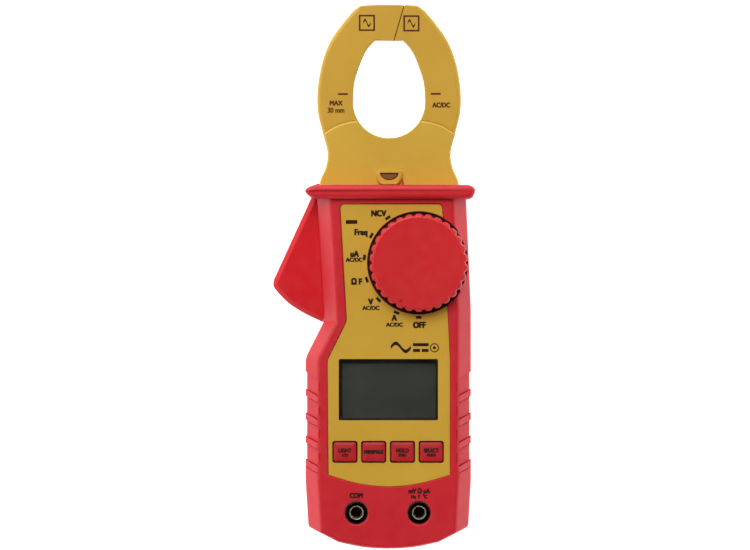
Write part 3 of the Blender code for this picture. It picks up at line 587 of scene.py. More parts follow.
def solder_mask():
    """Circuit board: green mask with copper tracks showing through as raised, lighter lines."""
    material, shader = new_material("solder_mask", (0.02, 0.16, 0.06), 0.3)
    tracks = texture(shader, "ShaderNodeTexBrick", {
        "Scale": 260.0, "Color1": (0.02, 0.15, 0.06, 1.0), "Color2": (0.02, 0.2, 0.08, 1.0),
        "Mortar": (0.06, 0.32, 0.12, 1.0), "Mortar Size": 0.03})
    shader.id_data.links.new(tracks.outputs["Color"], shader.inputs["Base Color"])
    add_bump(shader, [(tracks.outputs["Fac"], 0.4, 0.04)])
    return material


def winding():
    """Enamelled copper wire laid side by side."""
    material, shader = new_material("winding", (0.62, 0.22, 0.07), 0.3, 0.85)
    turns = texture(shader, "ShaderNodeTexWave", {"Scale": 900.0, "Distortion": 0.4})
    turns.bands_direction = "Y"
    vary_colour(shader, turns.outputs["Fac"], (0.3, 0.09, 0.03), (0.7, 0.27, 0.09))
    add_bump(shader, [(turns.outputs["Fac"], 0.8, 0.1)])
    return material


case_red = moulded("case_red", (0.52, 0.009, 0.017), 0.42, 1.0)
trigger_red = moulded("trigger_red", (0.6, 0.005, 0.011), 0.36, 0.22)
knob_red = moulded("knob_red", (0.54, 0.012, 0.015), 0.38, 0.25)
key_red = moulded("key_red", (0.42, 0.006, 0.011), 0.46, 0.3)
jaw_yellow = moulded("jaw_yellow", (0.55, 0.315, 0.032), 0.38, 0.25)
# A lighter copy of jaw_yellow for the base plates: painted light that offsets the shade they get next to
# the red guard.
base_yellow_painted_light = moulded("base_yellow_painted_light", (0.585, 0.355, 0.037), 0.38, 0.25)
panel_yellow = moulded("panel_yellow", (0.54, 0.315, 0.027), 0.4, 0.3, 0.03)
black_plastic = moulded("black_plastic", (0.009, 0.007, 0.007), 0.38, 0.2)
# Near-black red for the knob's well: painted shade where the recess and the gap under the rim are only in
# shadow.
well_painted_shade = moulded("well_painted_shade", (0.04, 0.002, 0.003), 0.6, 0.2)
ink = printed("ink", (0.016, 0.006, 0.003))
jaw_ink = printed("jaw_ink", (0.075, 0.018, 0.006))
socket_metal = metal("socket_metal", (0.98, 0.86, 0.64), 0.45, (1.0, 1.0, 25.0))
steel = metal("steel", (0.62, 0.62, 0.64), 0.3, (20.0, 1.0, 1.0))
brass = metal("brass", (0.8, 0.6, 0.32), 0.28)
iron = metal("laminated_iron", (0.16, 0.16, 0.17), 0.5, (1.0, 1.0, 60.0), 200.0)
display = display_glass()
window = clear_window()
board_mask = solder_mask()
coil_wire = winding()
rubber = moulded("rubber", (0.42, 0.42, 0.43), 0.75, 0.3)
white_plastic = moulded("white_plastic", (0.72, 0.72, 0.69), 0.4, 0.15)
amber = moulded("torch_tint", (0.2, 0.09, 0.02), 0.18, 0.1)
pipe_dark = moulded("pipe_dark", (0.03, 0.008, 0.006), 0.2, 0.05)
cell_jacket = moulded("cell_jacket", (0.05, 0.055, 0.07), 0.25, 0.05, 0.15)


# ------------ case

def case_skin(name, front, shrink=0.0):
    """Outer form of one cover, as rings of (side, bottom, height).

    The sides lean in to the face, the lower end is only rounded. With `shrink` it is the smaller
    core that the grip's cutters leave standing.
    """
    if front:
        profile = [(0.0, 0.0, SEAM - 1.0), (0.0, 0.0, SEAM + SEAM_HALF), (0.0, 0.0, 25.6),
                   (0.12, 0.0, 26.3), (0.5, 0.0, 27.1), (4.6, 0.15, 32.6), (5.1, 0.4, 33.3),
                   (5.75, 0.8, 33.8), (6.6, 1.5, FACE)]
        if not shrink:
            profile = profile[1:]
    else:
        profile = [(4.4, 3.4, CASE_LOW + LEAST_LIFT), (3.3, 2.3, 0.25), (2.2, 1.3, 1.2),
                   (1.0, 0.5, 3.0), (0.3, 0.1, 5.0), (0.0, 0.0, 7.0), (0.0, 0.0, SEAM - SEAM_HALF),
                   (0.0, 0.0, SEAM + 1.0)]
        if not shrink:
            profile = profile[:-1]
    lower = -shrink if front else shrink
    return skin(name, [(case_outline(side + shrink, bottom + shrink), z + (lower if side > 1 else 0.0))
                       for side, bottom, z in profile])


def slanting_bar(name, side, top, bottom, low, high):
    """A bar across one flank that rises outwards; top and bottom hold at the widest place."""
    inner, outer, widest = 29.6, 40.0, 34.8
    drop, rise = (inner - widest) * GRIP_SLOPE, (outer - widest) * GRIP_SLOPE
    outline = [(side * inner, bottom + drop), (side * outer, bottom + rise),
               (side * outer, top + rise), (side * inner, top + drop)]
    return slab(name, outline if side > 0 else outline[::-1], low, high)


def grip_cutters(front):
    """Shallow slanting pockets down both flanks, each with a crease at its lower end."""
    low, high = (SEAM - 2.0, FACE + 2.0) if front else (4.0, SEAM + 2.0)
    pockets, creases = [], []
    for side in (-1, 1):
        for top, bottom in GRIP_POCKETS:
            pockets.append(slanting_bar("pocket", side, top, bottom, low, high))
            creases.append(slanting_bar("crease", side, bottom + 0.45, bottom - 0.05, low, high))
            creases.append(slanting_bar("crease", side, bottom - 2.75, bottom - 3.0, low, high))
    pockets, creases = joined("pockets", pockets), joined("creases", creases)
    cut(pockets, case_skin("case_core", front, GRIP_DEPTH))
    cut(creases, case_skin("case_core", front, GRIP_DEPTH + 0.3))
    return pockets, creases


def grip_slots():
    """Short upright slots beside the face, one above each ridge of the grip."""
    slots = []
    for side in (-1, 1):
        for _, bottom in GRIP_POCKETS:
            outline = box_round(side * 28.75, bottom + 0.9, 0.25, 1.7)
            slots.append(slab("slot", outline, FACE - 0.55, FACE + 1.0))
    return joined("slots", slots)


def hollow(name, rings):
    """Space inside a cover, closed off below the finger guard."""
    return skin(name, [(case_outline(side, bottom, 69.5), z) for side, bottom, z in rings])


def lever_slot():
    """Opening in the left flank that the trigger moves through."""
    outline = [(-52.0, 18.2), (-24.0, 16.0), (-24.0, 80.0), (-52.0, 80.0)]
    return slab("lever_slot", outline, TRIGGER_SPAN[0] - PASSAGE_GAP, TRIGGER_SPAN[1] + PASSAGE_GAP)


def jaw_passage():
    """Opening in the upper end for the jaw base, wide only where the base is."""
    outline = [(-25.0, 66.0), (25.0, 66.0), (25.0, 70.8), (29.9, 70.8), (29.9, 80.0), (-29.9, 80.0),
               (-29.9, 70.8), (-25.0, 70.8)]
    return slab("jaw_passage", outline, BASE_REAR[0] - PASSAGE_GAP, BASE_FRONT[1] + PASSAGE_GAP)


def indicator_hole(low, high, radius=0.0):
    outline = box_round(*middle("indicator_light_pipe"), *INDICATOR_HALF, radius)
    return slab("indicator_hole", outline, low, high)


def key_holes(low, high):
    return [slab("key_hole", key_outline(*middle(name), KEY_GAP, KEY_CORNER), low, high)
            for name in KEYS]


def front_cover():
    cover = case_skin("front_cover_shell", True)
    cut(cover, *grip_cutters(True), grip_slots())
    cut(cover, hollow("inside", [(WALL, WALL, SEAM - 5.0), (WALL, WALL, 26.5),
                                 (7.5, 3.0, 31.0)]))
    guard = skin("guard", edge_rings(guard_outline(), SEAM + SEAM_HALF, GUARD_HEIGHT, 0.0, 1.9, 8))
    fuse(cover, guard, slab("well_floor", circle(KNOB, 15.5), 29.5, 31.5))
    for name in CASE_SCREWS:
        fuse(cover, slab("pillar", circle(middle(name), PILLAR_RADIUS, 32), SEAM + 0.3, 29.4),
             slab("pillar_top", circle(middle(name), 2.0, 32), 29.0, 31.0))
    for name in BOARD_SCREWS:
        fuse(cover, slab("post", circle(middle(name), 2.6, 24), 27.9, 31.6))
        cut(cover, slab("post_hole", circle(middle(name), 1.2, 16), 20.0, 30.6))
    cut(cover, slab("well", circle(KNOB, WELL_RADIUS, 120), 32.0, FACE + 5.0),
        slab("shaft_hole", circle(KNOB, 3.6, 32), 20.0, FACE),
        skin("panel_seat", [(panel_outline(-0.3), PANEL_LOW - 0.3), (panel_outline(-0.3), FACE - 0.45),
                            (panel_outline(-0.95), FACE + 0.2), (panel_outline(-0.95), FACE + 2.0)]),
        slab("display_hole", box_outline(*DISPLAY_HOLE), 20.0, FACE), indicator_hole(20.0, FACE),
        jaw_passage(), lever_slot(), *key_holes(20.0, FACE))
    for _, centre in SOCKETS:
        cut(cover, slab("socket_hole", circle(centre, 4.8), 20.0, FACE + 1.0),
            skin("socket_chamfer", [(circle(centre, 4.7), FACE - 0.8),
                                    (circle(centre, 5.5), FACE), (circle(centre, 6.0), FACE + 0.5)]))
    for name in CASE_SCREWS:
        cut(cover, slab("screw_hole", circle(middle(name), SHANK_HOLE, 24), 10.0, 27.0))
    finish_piece(cover, case_red, "housing", ("front_cover",), 0.25)


def rear_cover():
    cover = case_skin("rear_cover_shell", False)
    cut(cover, *grip_cutters(False))
    cut(cover, hollow("inside", [(5.0, 5.0, 2.0), (WALL, WALL, 6.6), (WALL, WALL, SEAM + 5.0)]))
    fuse(cover, slab("guard", guard_outline(), CASE_LOW + LEAST_LIFT, SEAM - SEAM_HALF, 1.6, 0.0))
    low, high = node_box("battery_door")
    for name in CASE_SCREWS:
        fuse(cover, slab("foot", circle(middle(name), 4.4, 32), 1.0, 7.0),
             slab("pillar", circle(middle(name), PILLAR_RADIUS, 32), 6.0, SEAM - SEAM_HALF))
    walls = [(-21.0, DOOR_LOW + 0.2, -19.8, 10.8), (19.8, DOOR_LOW + 0.2, 21.0, 10.8),
             (-21.0, 11.8, 21.0, 13.0), (-21.0, DOOR_LOW - 2.0, 21.0, DOOR_LOW - 0.8)]
    for wall in walls:
        fuse(cover, slab("bay", box_outline(*wall), 1.0, 14.0))
    opening = box_outline(low[0] - DOOR_GAP, DOOR_LOW - DOOR_GAP, high[0] + DOOR_GAP,
                          high[1] + DOOR_GAP, 1.2)
    cut(cover, slab("door_hole", opening, -1.0, 5.0), jaw_passage(), lever_slot())
    screw = middle("battery_door_screw")
    fuse(cover, slab("door_post", circle(screw, 3.4, 32), 1.0, 11.0))
    cut(cover, slab("door_lip", box_outline(-4.2, DOOR_LOW - 8.8, 4.2, DOOR_LOW + 1.0, 1.8), -1.0, 2.3),
        slab("door_thread", circle(screw, 1.6, 24), 0.0, 9.6))
    for name in CASE_SCREWS:
        cut(cover, slab("head_hole", circle(middle(name), 3.2, 40), -1.0, 4.0),
            slab("shank_hole", circle(middle(name), SHANK_HOLE, 24), -1.0, SEAM + 5.0))
    finish_piece(cover, case_red, "housing", ("rear_cover",), 0.2)


def battery_door():
    low, high = node_box("battery_door")
    plate = box_outline(low[0], DOOR_LOW, high[0], high[1], 1.0)
    door = slab("battery_door_plate", plate, 0.0, DOOR_THICKNESS)
    tab = box_outline(-3.9, DOOR_LOW - 8.4, 3.9, DOOR_LOW + 1.5, 1.6)
    fuse(door, slab("tab", tab, 0.0, DOOR_THICKNESS))
    screw = middle("battery_door_screw")
    cut(door, slab("screw_hole", circle(screw, 1.7, 32), -1.0, 3.0),
        slab("head_seat", circle(screw, 2.9, 48), -1.0, 1.0))
    for i in range(5):
        groove = box_round(0.0, 4.5 - 2.2 * i, 7.0, 0.5, 0.45)
        cut(door, slab("thumb_groove", groove, -0.5, 0.45))
    finish_piece(door, case_red, "housing", ("battery_door",), 0.18)


def screw_heads():
    """Cross-recessed pan heads on turned shanks."""
    for name in (*CASE_SCREWS, *BOARD_SCREWS, "battery_door_screw"):
        centre = middle(name)
        low, high = node_box(name)
        head = (high[0] - low[0]) / 2
        shank = head * 0.48
        top = low[2] + (0.55 if name == "battery_door_screw" else 1.1)
        profile = [(head * 0.55, low[2]), (head * 0.85, low[2] + 0.08), (head, low[2] + 0.35),
                   (head, top), (shank, top + 0.02)]
        turns = int((high[2] - top - 1.0) / 0.7)
        for i in range(turns):
            z = top + 0.3 + 0.7 * i
            profile += [(shank * 0.82, z), (shank, z + 0.35)]
        profile.append((shank * 0.3, high[2]))
        screw = turned(f"{name}_body", centre, profile, 32, False)
        for half in ((head * 0.62, 0.22), (0.22, head * 0.62)):
            cut(screw, slab("cross", box_round(*centre, *half), low[2] - 1.0, low[2] + 0.45))
        finish_piece(screw, steel, "housing", (name,), 0.0, 40)


# ------------ face

def face_panel():
    panel = slab("face_panel_plate", panel_outline(-0.15), PANEL_LOW, PANEL_TOP)
    cut(panel, slab("well", circle(KNOB, WELL_RADIUS + 0.25, 120), 30.0, 36.0),
        slab("display_hole", box_outline(*DISPLAY_HOLE), 30.0, 36.0), indicator_hole(30.0, 36.0, 0.2),
        *key_holes(30.0, 36.0))
    finish_piece(panel, panel_yellow, "housing", ("face_panel",), 0.28)


def keys():
    """Key caps, slightly domed, each with its flange under the panel."""
    for name in KEYS:
        x, y = middle(name)
        low, high = node_box(name)
        rings = edge_rings(key_outline(x, y, 0.0, 0.9), low[2] + 0.3, high[2] - 0.2, 0.0, 0.4)
        rings += [(key_outline(x, y, -0.9, 0.5), high[2] - 0.08),
                  (key_outline(x, y, -1.8, 0.4), high[2] - 0.02), (key_outline(x, y, -3.2, 0.3), high[2])]
        key = skin(f"{name}_cap", rings)
        fuse(key, slab("flange", box_outline(low[0], low[1], high[0], high[1], 0.6), low[2],
                       low[2] + 0.6))
        finish_piece(key, key_red, name, (name,))


def display_parts():
    """Window, the black border printed behind it, and the display glass; the border is wider at the top
    and left as painted shade of the recess walls.
    """
    low, high = node_box("lcd_window")
    outline = box_outline(low[0], low[1], high[0], high[1], 0.7)
    lens = slab("window_lens", outline, low[2], high[2], 0.1, 0.12)
    finish_piece(lens, window, "housing", ("lcd_window",))
    # The sight sits low and to the right, so the black border is wider at the top and left: painted shade
    # of the recess walls.
    rim, sight = inset(outline, 0.15), box_outline(low[0] + 1.3, low[1] + 0.6, high[0] - 0.7,
                                                   high[1] - 1.7, 0.5)
    top, under = low[2] - 0.04, low[2] - 0.3
    border = skin("window_border_painted_shade", [(rim, top), (rim, under), (sight, under), (sight, top)], True)
    finish_piece(border, black_plastic, "housing")
    low, high = node_box("lcd_glass")
    outline = box_outline(low[0], low[1], high[0], high[1], 0.2)
    glass = slab("display_glass_plate", outline, low[2], high[2], 0.05, 0.05)
    finish_piece(glass, display, "housing", ("lcd_glass",))


def sockets():
    for side, centre in SOCKETS:
        shroud = [(4.65, 12.0), (4.65, 26.0), (6.4, 26.0), (6.4, 30.9), (4.65, 30.9), (4.65, 33.2),
                  (4.6, 33.35), (4.5, 33.4), (4.4, 33.3), (4.4, 14.0), (3.6, 14.0), (3.6, 12.0)]
        body = turned(f"socket_shroud_{side}", centre, shroud, 96)
        finish_piece(body, black_plastic, "housing", (f"socket_sleeve_{side}",))
        contact = [(3.25, 9.0), (3.25, 28.0), (3.1, 28.3), (3.1, 30.15), (3.02, 30.35), (2.87, 30.5),
                   (2.73, 30.5), (2.58, 30.35), (2.5, 30.15), (2.5, 28.0), (2.1, 20.0), (2.1, 9.0)]
        tube = turned(f"socket_tube_{side}", centre, contact, 96)
        finish_piece(tube, socket_metal, "housing", (f"socket_contact_{side}",))


def scallop(angle):
    """0 on a crest, 1 at the bottom of a notch: narrow round notches between wide crests."""
    wave = 0.5 + 0.5 * math.cos(NOTCHES * angle)
    return wave ** 2.4


def knob_ring(radius, depth, count):
    """The knob's edge from the front, notched by `depth`."""
    angles = [math.tau * i / count for i in range(count)]
    reach = [radius - 0.95 * depth * scallop(angle) for angle in angles]
    return [(KNOB[0] + r * math.cos(a), KNOB[1] + r * math.sin(a)) for r, a in zip(reach, angles)]


def knob():
    """Scalloped cap, hollow below, with a raised rim line, a pointer mark and the shaft."""
    count = NOTCHES * 14
    profile = [(17.6, 0.0, 37.6), (17.9, 0.0, KNOB_LOW), (20.3, 0.9, KNOB_LOW),
               (20.55, 1.0, KNOB_LOW + 0.2), (20.6, 1.0, KNOB_LOW + 0.6), (20.6, 1.0, 37.2),
               (20.6, 1.0, 38.4), (20.45, 0.95, 38.9), (20.15, 0.75, 39.25), (19.75, 0.4, 39.55),
               (19.45, 0.15, 39.75), (19.1, 0.0, 39.8), (18.9, 0.0, KNOB_TOP), (18.6, 0.0, KNOB_TOP),
               (17.5, 0.0, 39.93), (10.0, 0.0, 39.85), (3.0, 0.0, 39.83)]
    body = skin("knob_cap", [(knob_ring(radius, depth, count), z) for radius, depth, z in profile])
    angle = math.radians(POINTER_ANGLE)
    along, across = (math.cos(angle), math.sin(angle)), (-math.sin(angle), math.cos(angle))
    corners = [(KNOB[0] + along[0] * r + across[0] * w, KNOB[1] + along[1] * r + across[1] * w)
               for r, w in ((16.6, 0.0), (18.2, -0.8), (18.2, 0.8))]
    cut(body, slab("pointer", corners, KNOB_TOP - 0.55, KNOB_TOP + 1.0))
    low = node_box("selector_knob")[0]
    fuse(body, slab("shaft", circle(KNOB, 3.0, 40), low[2], 38.5, 0.3, 0.0))
    finish_piece(body, knob_red, "selector", ("selector_knob",))


def knob_well_painted_shade():
    """Painted shade in the knob's well: a dark lining, open where the case falls away, and a dark ring
    under the rim that stands in for the shadow of the gap.
    """
    well_shade = turned("knob_well_shade_ring", KNOB, [(18.0, 31.9), (21.38, 31.9), (21.38, 33.3), (21.2, 33.3),
                                           (21.2, 32.15), (18.0, 32.15)], 120)
    cut(well_shade, slab("open_side", box_outline(28.9, 20.0, 40.0, 70.0), 30.0, 35.0))
    finish_piece(well_shade, well_painted_shade, "housing")
    foot = turned("knob_foot_shade_ring", KNOB, [(17.9, 31.95), (20.75, 31.95), (20.75, 32.3), (17.9, 32.3)],
                  120)
    finish_piece(foot, well_painted_shade, "housing")


def torch():
    low, high = node_box("torch_lens")
    lens = slab("torch_lens_body", torch_outline(0.25), low[2], high[2], 0.0, 0.3)
    finish_piece(lens, amber, "housing", ("torch_lens",))


# ------------ jaw

def base_plates():
    """The jaw base: front plate with the torch's hood, rear plate, and a small red spur."""
    outline, weights = neck_outline()
    front = slab("jaw_base_front_plate", outline, *BASE_FRONT, 0.2, 1.0, weights)
    hood = skin("hood", [(circle((0.4, 80.0 - sink), radius, 72), z) for radius, sink, z in (
        (5.6, 0.0, 25.0), (5.6, 0.0, 26.6), (5.5, 0.0, 27.2), (5.2, 0.0, 28.2), (4.8, 0.05, 28.8),
        (4.4, 0.1, 29.0))])
    cut(hood, slab("hood_top", box_outline(-10.0, 81.7, 10.0, 90.0), 26.5, 32.0),
        slab("hood_foot", box_outline(-10.0, 70.0, 10.0, 76.3), 24.0, 32.0))
    fuse(front, hood)
    cut(front, slab("torch_hole", torch_outline(), 24.0, 32.0),
        slab("pin_seat", circle(PIVOT, PIN_SEAT, 32), 23.0, 25.8))
    finish_piece(front, base_yellow_painted_light, "housing", ("jaw_base_front",), 0.15)
    rear = slab("jaw_base_rear_plate", outline, *BASE_REAR, 1.0, 0.2, weights)
    cut(rear, slab("pin_seat", circle(PIVOT, PIN_SEAT, 32), 8.2, 11.0))
    finish_piece(rear, base_yellow_painted_light, "housing", ("jaw_base_rear",), 0.15)
    spur_outline = [(5.6, 75.8), (6.7, 75.8), (5.95, 78.6), (5.8, 78.6)]
    spur = slab("guard_spur", spur_outline, BASE_FRONT[1] - 0.1, BASE_FRONT[1] + 0.5, 0.0, 0.1)
    finish_piece(spur, case_red, "housing")


def arm_halves(prefix, shape, pivot):
    """Front and rear half of one arm, thinner inside the base, with a channel for the core.

    The joint at the tip is a visible line in front and all but closed behind.
    """
    outline, weights = shape(0.2)
    channel = inset(outline, 1.8)
    front = skin(f"{prefix}_front_half", [(channel, 22.2), (channel, SEAM + 0.1)]
                 + edge_rings(outline, SEAM + 0.1, ARM[1], 0.12, 1.7, 7, weights))
    outline, weights = shape(0.02)
    rear = skin(f"{prefix}_rear_half", edge_rings(outline, ARM[0], SEAM - 0.1, 1.7, 0.12, 7, weights)
                + [(channel, SEAM - 0.1), (channel, 11.8)])
    cut(front, slab("step", circle(pivot, SEAM_RADIUS + 0.15, 160), 24.0, 30.0))
    cut(rear, slab("step", circle(pivot, SEAM_RADIUS + 0.15, 160), 2.0, 10.0))
    return front, rear


def jaws():
    """Both arms; the moving one has room for the trigger's tongue."""
    room = box_outline(PIVOT[0] - 6.2, 70.0, PIVOT[0] + 6.2, 80.0)
    halves = arm_halves("moving_jaw", moving_outline, PIVOT)
    for half, node in zip(halves, ("moving_jaw_front_shell", "moving_jaw_rear_shell")):
        cut(half, slab("tongue_room", room, 14.2, 19.8),
            slab("pin_hole", circle(PIVOT, PIN_HOLE, 48), 0.0, 40.0))
        finish_piece(half, jaw_yellow, "moving_jaw", (node,), 0.15)
    pivot = (2 * MIDDLE_X - PIVOT[0], PIVOT[1])
    halves = arm_halves("fixed_jaw", fixed_outline, pivot)
    for half, node in zip(halves, ("fixed_jaw_front_shell", "fixed_jaw_rear_shell")):
        finish_piece(half, jaw_yellow, "housing", (node,), 0.15)


def trigger():
    """The lever, hollow behind its outer wall, with the tongue that sits on the pin."""
    low, high = TRIGGER_SPAN
    outline, weights = trigger_outline()
    slope, lip = inset(outline, 2.0, weights), inset(outline, 0.3, weights)
    lever = skin("trigger_lever", [(slope, low), (lip, low + 1.1), (outline, low + 1.6),
                                   (outline, high - 1.6), (lip, high - 1.1), (slope, high)])
    hollow_outline = [(-31.2, 65.0), (-45.6, 36.2), (-45.6, 34.2), (-40.6, 28.0), (-33.6, 23.8),
                      (-24.0, 20.0), (-12.0, 20.0), (-12.0, 65.0)]
    cut(lever, slab("lever_hollow", hollow_outline, low + 1.8, high - 1.8))
    fuse(lever, slab("tongue", circle(PIVOT, 5.2, 48), 14.5, 19.5),
         slab("tongue_neck", box_outline(PIVOT[0] - 4.6, 70.8, PIVOT[0] + 4.6, 79.0), 14.5, 19.5))
    cut(lever, slab("pin_hole", circle(PIVOT, PIN_HOLE, 48), 10.0, 24.0))
    finish_piece(lever, trigger_red, "moving_jaw", ("trigger",), 0.15)


# ------------ prints

PRINT_HEIGHT = 0.03


def mark(name, outline, z, body, inner=None):
    """A thin flat print sunk slightly into the surface at height z; a frame if it has an inner edge."""
    low, high = z - 0.05, z + PRINT_HEIGHT
    if inner:
        obj = skin(name, [(outline, low), (outline, high), (inner, high), (inner, low)], True)
    else:
        obj = skin(name, [(outline, low), (outline, high)])
    finish_piece(obj, ink, body)


def bar(name, centre, length, width, angle, z, body):
    """A straight stroke turned by an angle in degrees."""
    c, s = math.cos(math.radians(angle)), math.sin(math.radians(angle))
    corners = [(-length / 2, -width / 2), (length / 2, -width / 2), (length / 2, width / 2),
               (-length / 2, width / 2)]
    mark(name, [(centre[0] + x * c - y * s, centre[1] + x * s + y * c) for x, y in corners], z, body)


def label(name, text, centre, size, z, body, weight, stretch=0.82):
    """Generic lettering as thin solids, centred on a point; weight thickens the strokes.

    The strokes are thickened with shifted copies, as an offset breaks small round letters.
    """
    curve = bpy.data.curves.new(name, "FONT")
    curve.body = text
    curve.align_x = "CENTER"
    curve.align_y = "CENTER"
    curve.size = size * MM
    curve.extrude = 0.02 * MM
    curve.resolution_u = 3
    source = place(name, curve)
    mesh = evaluated_mesh(source)
    bpy.data.objects.remove(source, do_unlink=True)
    bm = bmesh.new()
    for i, (dx, dy) in enumerate(((-1.3, -0.9), (1.3, -0.9), (1.3, 0.9), (-1.3, 0.9), (0.0, 0.0))):
        copy = mesh.copy()
        shift = (centre[0] + dx * weight, centre[1] + dy * weight, z + 0.01 + 0.002 * i)
        copy.transform(Matrix.Translation([v * MM for v in shift]) @ Matrix.Diagonal((stretch, 1, 1, 1)))
        bm.from_mesh(copy)
    finish_piece(make(name, bm), ink, body)


def wave_mark(name, centre, width, height, thickness, z, body):
    """A sine stroke: the sign for alternating current."""
    upper, lower = [], []
    for i in range(21):
        t = i / 20
        x = centre[0] + (t - 0.5) * width
        y = centre[1] + math.sin(t * math.tau) * height / 2
        upper.append((x, y + thickness / 2))
        lower.append((x, y - thickness / 2))
    mark(name, lower + upper[::-1], z, body)


def dial_prints():
    """Function marks round the knob: a short bar and a generic unit at each position."""
    labels = (("OFF", 270.0, [(13.0, 17.1)]), ("A", 246.0, [(2.5, 20.1), (2.6, 17.3)]),
              ("V", 222.5, [(-7.4, 26.9), (-7.3, 24.3)]), ("Ω F", 198.0, [(-13.3, 35.3)]),
              ("uA", 174.4, [(-14.2, 46.9), (-14.3, 44.5)]), ("Freq", 150.0, [(-11.5, 56.0)]),
              ("NCV", 124.4, [(-4.1, 63.9)]))
    for text, angle, places in labels:
        a = math.radians(angle)
        tick = (KNOB[0] + 22.85 * math.cos(a), KNOB[1] + 22.85 * math.sin(a))
        bar(f"tick_{angle:.0f}", tick, 2.4, 1.15, angle + 90, PANEL_TOP, "housing")
        label(f"unit_{angle:.0f}", text, places[0], 3.5, PANEL_TOP, "housing", 0.18, 0.85)
        if len(places) > 1:
            label(f"kind_{angle:.0f}", "AC/DC", places[1], 2.3, PANEL_TOP, "housing", 0.11, 0.98)


def badge():
    """A plain sign for alternating and direct current where a badge would be."""
    wave_mark("badge_wave", (5.2, 7.9), 8.4, 3.4, 1.5, PANEL_TOP, "housing")
    bar("badge_line", (13.6, 9.0), 6.6, 1.3, 0, PANEL_TOP, "housing")
    for i in range(2):
        bar(f"badge_dash_{i}", (11.8 + 3.6 * i, 6.6), 2.9, 1.3, 0, PANEL_TOP, "housing")
    centre = (19.3, 7.7)
    mark("badge_ring", circle(centre, 1.9, 48), PANEL_TOP, "housing", circle(centre, 1.5, 48))
    mark("badge_dot", circle(centre, 0.65, 24), PANEL_TOP, "housing")


def jaw_prints():
    """Square frames and centre lines on both arms."""
    top = ARM[1]
    arms = (("moving", "moving_jaw", (-9.0, 144.1)), ("fixed", "housing", (9.7, 143.9)))
    for side, body, centre in arms:
        outer, inner = (box_round(*centre, half, half, 0.15) for half in (3.4, 2.7))
        mark(f"square_{side}", outer, top, body, inner)
        wave_mark(f"square_wave_{side}", centre, 3.2, 2.6, 1.1, top, body)
    bar("centre_line_moving", (-19.1, 114.2), 4.2, 0.75, 0, top, "moving_jaw")
    bar("centre_line_fixed", (19.9, 114.3), 4.2, 0.75, 0, top, "housing")
    label("jaw_sign_moving", "MAX", (-22.0, 110.3), 2.8, top, "moving_jaw", 0.11, 0.9)
    label("jaw_size_moving", "30 mm", (-22.0, 107.3), 3.0, top, "moving_jaw", 0.08, 0.85)
    label("jaw_sign_fixed", "AC/DC", (22.3, 109.5), 2.8, top, "housing", 0.11, 0.85)
    for obj in bpy.data.objects:
        if obj.name.startswith(("square_", "centre_line_", "jaw_si")):
            obj.data.materials[0] = jaw_ink


def key_prints():
    """One or two short words on each key."""
    captions = (("LIGHT", "LCD"), ("MIN/MAX",), ("HOLD", "ZERO"), ("SELECT", "MODE"))
    for name, lines in zip(KEYS, captions):
        x, y = middle(name)
        z = node_box(name)[1][2]
        rise = 0.5 if len(lines) > 1 else -0.1
        label(f"{name}_caption", lines[0], (x, y + rise), 2.3, z, name, 0.12)
        if len(lines) > 1:
            label(f"{name}_small", lines[1], (x, y - 1.4), 1.6, z, name, 0.09)


def socket_prints():
    """What each socket is for."""
    words = (("com", 0, "COM", 7.2, 2.9, 0.15), ("input", 1, "mV Ω µA", 9.1, 2.8, 0.13),
             ("input_low", 1, "Hz  F  °C", 6.7, 2.2, 0.11))
    for name, socket, text, rise, size, weight in words:
        x, y = SOCKETS[socket][1]
        label(f"socket_word_{name}", text, (x, y + rise), size, FACE, "housing", weight)


# ------------ pieces kept from the frame

def paint_inner_nodes():
    """Better finishes for the pieces inside, whose plain shapes are right."""
    finishes = (
        (steel, ("battery_link", "battery_contact_plus", "battery_contact_minus", "jaw_pivot_pin",
                 "jaw_spring", "detent_ring")),
        (white_plastic, ("lcd_backlight", "torch_lamp", "selector_rotor")),
        (rubber, ("zebra_strip", "keypad_mat")),
        (black_plastic, ("measuring_chip", "buzzer")),
        (pipe_dark, ("indicator_light_pipe", "indicator_lamp")),
        (iron, ("fixed_jaw_core", "moving_jaw_core")),
        (coil_wire, ("fixed_jaw_coil", "moving_jaw_coil")),
        (cell_jacket, ("battery_1", "battery_2")),
        (board_mask, ("main_board",)),
        (brass, ("selector_wiper",)),
    )
    for material, names in finishes:
        for name in names:
            NODES[name].data.materials.clear()
            NODES[name].data.materials.append(material)


# ------------ studio

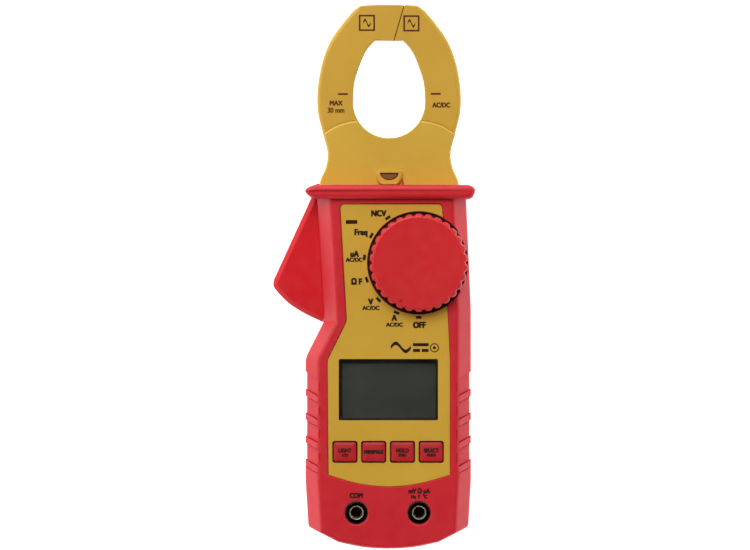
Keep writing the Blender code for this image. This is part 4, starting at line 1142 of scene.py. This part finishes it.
def floor():
    """A self-lit white ground, just below the part."""
    bm = bmesh.new()
    corners = [bm.verts.new((x, y, -0.2 * MM)) for x, y in ((-3, -3), (3, -3), (3, 3), (-3, 3))]
    bm.faces.new(corners)
    ground = make("floor", bm)
    material, shader = new_material("floor_white", (0.9, 0.9, 0.9), 0.9)
    settle(shader, {"Emission Color": (1.0, 1.0, 1.0, 1.0), "Emission Strength": 1.0})
    ground.data.materials.append(material)


def key_light():
    """One large soft box beyond the jaw, a little to the left."""
    data = bpy.data.lights.new("key_light", "AREA")
    data.shape = "RECTANGLE"
    data.size, data.size_y = 2.6, 1.6
    data.energy = 74.0
    light = place("key_light", data)
    light.location = (-0.6, 1.6, 2.2)
    direction = light.location - Vector((0.0, 0.035, 0.0))
    light.rotation_euler = direction.to_track_quat("Z", "Y").to_euler()


def sky():
    """A light tent: bright all round the horizon, dim overhead."""
    world = bpy.context.scene.world or bpy.data.worlds.new("studio")
    bpy.context.scene.world = world
    world.use_nodes = True
    nodes, links = world.node_tree.nodes, world.node_tree.links
    coordinates = nodes.new("ShaderNodeTexCoord")
    axes = nodes.new("ShaderNodeSeparateXYZ")
    links.new(coordinates.outputs["Generated"], axes.inputs["Vector"])
    fall = nodes.new("ShaderNodeMapRange")
    settle(fall, {"From Min": 0.0, "From Max": 0.6, "To Min": 2.2, "To Max": 0.12})
    links.new(axes.outputs["Z"], fall.inputs["Value"])
    background = nodes["Background"]
    settle(background, {"Color": (1.0, 1.0, 1.0, 1.0)})
    links.new(fall.outputs["Result"], background.inputs["Strength"])
    bpy.context.scene.view_settings.view_transform = "Standard"


def camera():
    """Straight above the face, from far off."""
    height, field, subject = 3.2, 0.315, 0.026
    data = bpy.data.cameras.new("camera")
    data.lens = data.sensor_width * (height - subject) / field
    data.clip_end = 10.0
    eye = place("camera", data)
    eye.location = (-0.0056, 0.0382, height)
    bpy.context.scene.camera = eye


front_cover()
rear_cover()
battery_door()
screw_heads()
face_panel()
keys()
display_parts()
sockets()
knob()
knob_well_painted_shade()
torch()
base_plates()
jaws()
trigger()
dial_prints()
badge()
jaw_prints()
key_prints()
socket_prints()
paint_inner_nodes()
floor()
key_light()
sky()
camera()
